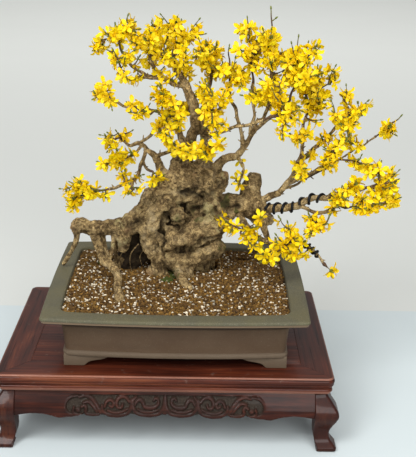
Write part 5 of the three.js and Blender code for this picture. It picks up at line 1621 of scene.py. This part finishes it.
        # painted shade: the heartwood in the hollow between the roots is painted near-black
        channels[:trunk_corners][rows[:trunk_corners, 8] >= sound, HOLLOW] = 0.93
        write_places(wood, places + normals * height[:, None])
        paint(wood, "bark", channels)


# The stretches of limb that carry training wire: limb, first and last point along it, and turns
WINDINGS = {
    "wire_inner": ("branch_e", 2, 3.9, 3.25),
    "wire_outer": ("branch_e", 4.3, 5.8, 2.5),
    "wire_low": ("low_wired", 7.4, 9.8, 4),
}
WIRE_RADIUS = 0.0029


class BONSAI_OT_add_wires(bpy.types.Operator):
    """Winds the training wires round their limbs"""

    bl_idname = "bonsai.add_wires"
    bl_label = "Add training wires"

    def execute(self, context):
        finish = wire_finish(context.scene.bonsai_wood)
        limbs = shift_to_middle(aimed_limbs())
        for node, (limb, first, last, turns) in WINDINGS.items():
            wire = tubes(node.replace("wire", "winding"), [self.helix(limbs[limb], first, last, turns)], 2)
            finish_piece(wire, finish, "wire", node, smooth=60)
        return {"FINISHED"}

    def helix(self, points, first, last, turns):
        steps_a_turn = 12
        steps = int(turns * steps_a_turn)
        start, end = (np.linalg.norm(np.diff(points[: int(place) + 1, :3], axis=0), axis=1).sum()
                      + (place % 1) * np.linalg.norm(points[int(place) + 1, :3] - points[int(place), :3])
                      for place in (first, last))
        limb = stray(smooth_route(points, 0.0042))
        lengths = np.concatenate([[0], np.cumsum(np.linalg.norm(np.diff(limb[:, :3], axis=0), axis=1))])
        places = []
        for step in range(steps + 1):
            at = start + (end - start) * step / steps
            middle = np.array([np.interp(at, lengths, limb[:, axis]) for axis in range(4)])
            ahead = np.array([np.interp(at + 0.006, lengths, limb[:, axis]) for axis in range(3)])
            way = Vector(ahead - middle[:3]).normalized()
            across = way.cross(Vector((0, 0, 1))).normalized()
            up = across.cross(way)
            angle = 2 * math.pi * step / steps_a_turn
            reach = 0.93 * middle[3] + 0.75 * WIRE_RADIUS
            centre = Vector(middle[:3]) + across * math.cos(angle) * reach + up * math.sin(angle) * reach
            places.append((*centre, WIRE_RADIUS))
        return smooth_route(places, 0.0020)


# Sprays
LIMB_TIP = 0.010
NECK_LENGTH = 0.010
TWIG_RADIUS = 0.0020
TWIG_TIP_RADIUS = 0.0010
LEFT_SIDE_TIPS = 65  # how many of the side tips are on the left
BARE_START = 0.26
BARE_TIP = 0.004
# An open petal's middle line and a half closed one's: distance out from the stalk, and height
OPEN_PETAL = ((0.0010, 0.0045), (0.0055, 0.0083), (0.0107, 0.0098), (0.0152, 0.0088))
CLOSED_PETAL = ((0.0010, 0.0045), (0.0034, 0.0092), (0.0062, 0.0138), (0.0096, 0.0176))
PETAL_HALF_WIDTHS = (0.0014, 0.0032, 0.0039, 0.0015)
PETAL_THICKNESS = 0.0006
OPENNESS = (1.0, 0.72, 0.35)
# How many blooms a side of a bud may carry, as a draw
SPARSE = (0, 0, 1)
CROWDED = (0, 1, 1, 2)


def aimed_limbs():
    """The limbs, each with a last stretch that points at the middle of its spray's tips."""
    limbs = dict(LIMBS)
    for limb, tips in SPRAYS.values():
        end = Vector(LIMBS[limb][-1][:3])
        base = end + spray_aim(limb, tips) * LIMB_TIP
        limbs[limb] = (*LIMBS[limb], (*base, LIMBS[limb][-1][3]))
    return limbs


def spray_aim(limb, tips):
    middle = sum((Vector(tip) for tip in tips), Vector()) / len(tips)
    return (middle - Vector(LIMBS[limb][-1][:3])).normalized()


def bent_places(start, aim, tip):
    """A twig bends from the way it sets out towards its tip."""
    control = start + aim * (0.42 * (tip - start).length)
    return [start * (1 - t) ** 2 + control * (2 * t * (1 - t)) + tip * t**2 for t in (0, 0.45, 1)]


def spray_routes(limb, tips):
    """The first twig grows on from its limb's end, and the others branch from it."""
    aim = spray_aim(limb, tips)
    base = Vector(LIMBS[limb][-1][:3]) + aim * LIMB_TIP
    neck = 0.9 * LIMBS[limb][-1][3]
    first = bent_places(base, aim, Vector(tips[0]))
    first.insert(1, base + aim * NECK_LENGTH)
    radii = (neck, 0.8 * neck, TWIG_RADIUS, TWIG_TIP_RADIUS)
    routes = [[(*place, radius) for place, radius in zip(first, radii)]]
    for index, tip in enumerate(tips[1:]):
        place = 1.2 + 0.4 * index
        low = min(int(place), 2)
        start = first[low].lerp(first[low + 1], place - low)
        bent = bent_places(start, (first[low + 1] - first[low]).normalized(), Vector(tip))
        radii = (TWIG_RADIUS, TWIG_RADIUS, TWIG_TIP_RADIUS)
        routes.append([(*spot, radius) for spot, radius in zip(bent, radii)])
    return [stray(smooth_route(np.array(route) + np.array([*STAND_MIDDLE, 0]), 0.005)) for route in routes]


class BONSAI_OT_add_sprays(bpy.types.Operator):
    """Adds every flowering spray: its twigs, buds and blooms"""

    bl_idname = "bonsai.add_sprays"
    bl_label = "Add flowering sprays"

    def execute(self, context):
        self.settings = context.scene.bonsai_blooms
        finish = spray_finish(self.settings)
        self.blooms = [self.model_bloom(openness) for openness in OPENNESS]
        self.bud = self.model_bud()
        grown = []
        for name, (limb, tips) in SPRAYS.items():
            routes = spray_routes(limb, tips)
            grown += routes
            bare = BARE_STARTS.get(name, BARE_START), BARE_SHOOTS.get(name, BARE_TIP)
            piece = self.grow(f"blossom_{name}", routes, *bare)
            finish_piece(piece, finish, "blossom", f"spray_{name}", smooth=70)
        limbs = shift_to_middle(aimed_limbs())
        hanging = stray(smooth_route(limbs["hanging"], 0.005))
        hanging[:, 3] *= 0.8
        grown += [stray(smooth_route(points, 0.005)) for points in limbs.values()]
        side = [self.side_twig(np.array(tip) + STAND_MIDDLE, grown) for tip in SIDE_TIPS]
        left, right = side[:LEFT_SIDE_TIPS], side[LEFT_SIDE_TIPS:]
        groups = {"hanging": [hanging], "left_side_twigs": left, "right_side_twigs": right}
        for name, routes in groups.items():
            piece = self.grow(f"blossom_{name}", routes, 0.12, BARE_TIP, name == "hanging")
            finish_piece(piece, finish, "blossom", smooth=70)
        for template in (*self.blooms, self.bud):
            bpy.data.objects.remove(template)
        return {"FINISHED"}

    def model_bloom(self, openness):
        """Four creased petals round a short throat, on a green stalk along +Z."""
        deselect()
        bpy.ops.mesh.primitive_grid_add(x_subdivisions=2, y_subdivisions=3, size=2)
        petal = bpy.context.object
        bpy.ops.object.mode_set(mode="EDIT")
        bpy.ops.mesh.select_all(action="SELECT")
        bpy.ops.mesh.duplicate_move()
        bpy.ops.mesh.flip_normals()
        shape = bmesh.from_edit_mesh(petal.data)
        for vertex in shape.verts:
            inner = abs(vertex.co.x) < 0.5 and abs(vertex.co.y) < 0.9
            vertex.co.z = -1.0 if inner and vertex.select else 0.0
            vertex.co.z -= 1.5 if inner else 0.0
        bpy.ops.mesh.select_all(action="SELECT")
        bpy.ops.mesh.remove_doubles(threshold=0.001)
        stop_editing()
        grid = read_places(petal)
        along = (grid[:, 1] + 1) / 2
        shares = (0, 1 / 3, 2 / 3, 1)
        open_out, open_up = zip(*OPEN_PETAL)
        shut_out, shut_up = zip(*CLOSED_PETAL)
        size = self.settings.petal_length / OPEN_PETAL[-1][0]
        shut = 1 - openness
        out = np.interp(along, shares, open_out) * openness + np.interp(along, shares, shut_out) * shut
        up = np.interp(along, shares, open_up) * openness + np.interp(along, shares, shut_up) * shut
        across = grid[:, 0] * np.interp(along, shares, PETAL_HALF_WIDTHS)
        up = up + grid[:, 2] * PETAL_THICKNESS + across * 0.22
        write_places(petal, np.column_stack([out, across, up]) * size)
        channels = np.column_stack([np.ones_like(along), np.zeros_like(along), np.zeros_like(along), along])
        paint(petal, "spray", channels)
        start_editing(petal)
        bpy.ops.mesh.select_all(action="SELECT")
        bpy.ops.mesh.spin(steps=3, dupli=True, angle=1.5 * math.pi, center=(0, 0, 0), axis=(0, 0, 1))
        stop_editing()
        throat = self.add_cone((0.0013, 0.0028), (0.0036, 0.0072), (1, 0, 0, 0))
        stalk = self.add_cone((0.0007, 0.0019), (-0.0010, 0.0046), (0, 1, 0, 0))
        join(petal, throat, stalk)
        clean(petal, 0.0000001)
        return petal

    def add_cone(self, radii, heights, channels):
        depth = heights[1] - heights[0]
        deselect()
        bpy.ops.mesh.primitive_cone_add(
            vertices=4, radius1=radii[0], radius2=radii[1], depth=depth,
            location=(0, 0, heights[0] + depth / 2),
        )
        cone = bpy.context.object
        bpy.ops.object.transform_apply(location=True, rotation=True, scale=True)
        paint(cone, "spray", np.tile(channels, (len(cone.data.vertices), 1)))
        return cone

    def model_bud(self):
        """A pointed green bud that stands on its twig along +Z."""
        deselect()
        bpy.ops.mesh.primitive_ico_sphere_add(subdivisions=1, radius=0.0016)
        bud = bpy.context.object
        places = read_places(bud)
        places[:, 2] = places[:, 2] * 2.4 + 0.0030
        places[:, :2] *= (1.1 - 90 * np.clip(places[:, 2] - 0.003, 0, 1))[:, None]
        write_places(bud, places)
        paint(bud, "spray", np.tile((0.0, 1.0, 0.0, 0.0), (len(places), 1)))
        return bud

    def side_twig(self, tip, grown):
        """A twig from the nearest thin wood below its tip."""
        places = np.vstack(grown)
        places = places[places[:, 3] < 0.0075]
        above = np.clip(places[:, 2] - tip[2], 0, 1)
        start = places[np.argmin(np.linalg.norm(places[:, :3] - tip, axis=1) + 0.4 * above)][:3]
        middle = (start + tip) / 2 + np.array((0, 0, -0.10)) * np.linalg.norm(tip - start)
        return smooth_route([(*start, 0.0016), (*middle, 0.0014), (*tip, 0.0009)], 0.005)

    def grow(self, name, routes, bare_share, bare_tip, sparse=False):
        """One piece of twigs, side twigs, buds and blooms along the routes."""
        self.draw = random.Random(f"{self.settings.seed} {name}")
        twigs = list(routes)
        for index, route in enumerate(routes):
            twigs += self.side_twigs(route, bare_tip if index == 0 else BARE_TIP)
        poses = [[] for _ in self.blooms]
        buds = []
        for index, route in enumerate(twigs):
            start = bare_share if index < len(routes) else 0.3
            end = bare_tip if index == 0 else BARE_TIP
            self.place_blooms(route, start, end, poses, buds, SPARSE if sparse else CROWDED)
        piece = tubes(name, twigs, 1)
        places = read_places(piece)
        green = self.tip_green(places, twigs)
        paint(piece, "spray", np.column_stack([np.zeros(len(places)), green, np.zeros((len(places), 2))]))
        parts = []
        for template, chosen in [*zip(self.blooms, poses), (self.bud, buds)]:
            if chosen:
                matrices, tones = zip(*chosen)
                channels = self.channels_of(template)
                channels = np.repeat(channels[None], len(matrices), axis=0)
                channels[:, :, 2] = np.array(tones)[:, None]
                parts.append(copies("part", template, matrices, channels, "spray"))
        return join(piece, *parts)

    def channels_of(self, template):
        numbers = np.empty(len(template.data.vertices) * 4)
        template.data.color_attributes["spray"].data.foreach_get("color", numbers)
        return numbers.reshape(-1, 4)

    def tip_green(self, places, twigs):
        tree = KDTree(len(twigs))
        for index, twig in enumerate(twigs):
            tree.insert(Vector(twig[-1, :3]), index)
        tree.balance()
        gaps = np.array([tree.find(Vector(place))[2] for place in places])
        return np.clip(1 - gaps / 0.012, 0, 1) * 0.8

    def side_twigs(self, route, bare_tip):
        """Short twigs that branch off a longer one."""
        steps = np.linalg.norm(np.diff(route[:, :3], axis=0), axis=1)
        length = steps.sum()
        last = min(0.88, 1 - 1.3 * bare_tip / length)
        twigs = []
        for _ in range(int(length / 0.034) if last > 0.35 else 0):
            index = int(len(route) * self.draw.uniform(0.35, last))
            index = min(max(index, 1), len(route) - 2)
            start = Vector(route[index, :3])
            way = Vector(route[index + 1, :3] - route[index - 1, :3]).normalized()
            across = way.orthogonal().normalized()
            across.rotate(Matrix.Rotation(self.draw.uniform(0, FULL_TURN), 3, way))
            reach = self.draw.uniform(0.018, 0.034)
            middle = start + (way * 0.8 + across * 0.9) * reach * 0.5
            tip = middle + (way * 0.9 + across * 0.5 + Vector((0, 0, 0.25))) * reach * 0.5
            twigs.append(smooth_route([(*start, 0.0012), (*middle, 0.0011), (*tip, 0.0007)], 0.005))
        return twigs

    def place_blooms(self, route, bare_share, bare_tip, poses, buds, crowd):
        """Blooms stand in opposite pairs at each bud of the twig, and most of them nod."""
        steps = np.linalg.norm(np.diff(route[:, :3], axis=0), axis=1)
        lengths = np.concatenate([[0], np.cumsum(steps)])
        total = lengths[-1]
        at = max(total * bare_share, 0.004)
        quarter = self.draw.uniform(0, math.pi)
        while at < total - bare_tip:
            index = min(int(np.searchsorted(lengths, at)), len(route) - 1)
            place = Vector(route[index, :3])
            way = Vector(route[index, :3] - route[index - 1, :3]).normalized()
            across = way.orthogonal().normalized()
            for side in (0, math.pi):
                for _ in range(self.draw.choice(crowd)):
                    outward = across.copy()
                    outward.rotate(Matrix.Rotation(quarter + side + self.draw.uniform(-0.6, 0.6), 3, way))
                    facing = outward + way * self.draw.uniform(-0.1, 0.6)
                    facing += Vector((0, 0, -self.draw.uniform(0, 0.9)))
                    if facing.z < 0.75 * facing.length:
                        tone = self.draw.uniform(0.0, 1.0) ** 0.7
                        variant = self.draw.choice((0, 0, 1, 1, 2))
                        poses[variant].append((self.pose(place, facing, 0.92, 1.20), tone))
            if self.draw.random() < 0.4:
                outward = across.copy()
                outward.rotate(Matrix.Rotation(quarter + 1.57, 3, way))
                buds.append((self.pose(place, outward + way * 0.8, 0.8, 1.2), 0.5))
            quarter += math.pi / 2
            at += self.settings.node_step * self.draw.uniform(0.8, 1.25)
        buds.append((self.pose(Vector(route[-1, :3]), Vector(route[-1, :3] - route[-2, :3]), 0.9, 1.3), 0.5))

    def pose(self, place, facing, smallest, largest):
        turn = Vector((0, 0, 1)).rotation_difference(facing.normalized()).to_matrix().to_4x4()
        spin = Matrix.Rotation(self.draw.uniform(0, FULL_TURN), 4, "Z")
        return Matrix.Translation(place) @ turn @ spin @ Matrix.Scale(self.draw.uniform(smallest, largest), 4)


# The add-on

SETTINGS = {
    "bonsai_stand": StandSettings,
    "bonsai_pot": PotSettings,
    "bonsai_soil": SoilSettings,
    "bonsai_wood": WoodSettings,
    "bonsai_blooms": BloomSettings,
    "bonsai_stage": StageSettings,
}
OPERATORS = (
    BONSAI_OT_add_stage,
    BONSAI_OT_add_stand_top,
    BONSAI_OT_add_aprons,
    BONSAI_OT_add_legs,
    BONSAI_OT_add_pot,
    BONSAI_OT_add_soil,
    BONSAI_OT_add_wood,
    BONSAI_OT_add_wires,
    BONSAI_OT_add_sprays,
)


class BONSAI_PT_sidebar(bpy.types.Panel):
    """Lists the pieces of the bonsai and their settings"""

    bl_idname = "BONSAI_PT_sidebar"
    bl_label = "Forsythia bonsai"
    bl_space_type = "VIEW_3D"
    bl_region_type = "UI"
    bl_category = "Bonsai"

    def draw(self, context):
        for operator in OPERATORS:
            self.layout.operator(operator.bl_idname)
        for name in SETTINGS:
            settings = getattr(context.scene, name)
            box = self.layout.box()
            for field in settings.__annotations__:
                box.prop(settings, field)


def register():
    for name, settings in SETTINGS.items():
        bpy.utils.register_class(settings)
        setattr(bpy.types.Scene, name, PointerProperty(type=settings))
    for added in (*OPERATORS, BONSAI_PT_sidebar):
        bpy.utils.register_class(added)


def unregister():
    for added in (BONSAI_PT_sidebar, *reversed(OPERATORS)):
        bpy.utils.unregister_class(added)
    for name, settings in reversed(SETTINGS.items()):
        delattr(bpy.types.Scene, name)
        bpy.utils.unregister_class(settings)


def main():
    register()
    bpy.ops.bonsai.add_stage()
    bpy.ops.bonsai.add_stand_top()
    bpy.ops.bonsai.add_aprons()
    bpy.ops.bonsai.add_legs()
    bpy.ops.bonsai.add_pot()
    bpy.ops.bonsai.add_soil()
    bpy.ops.bonsai.add_wood()
    bpy.ops.bonsai.add_wires()
    bpy.ops.bonsai.add_sprays()


if __name__ == "__main__":
    main()
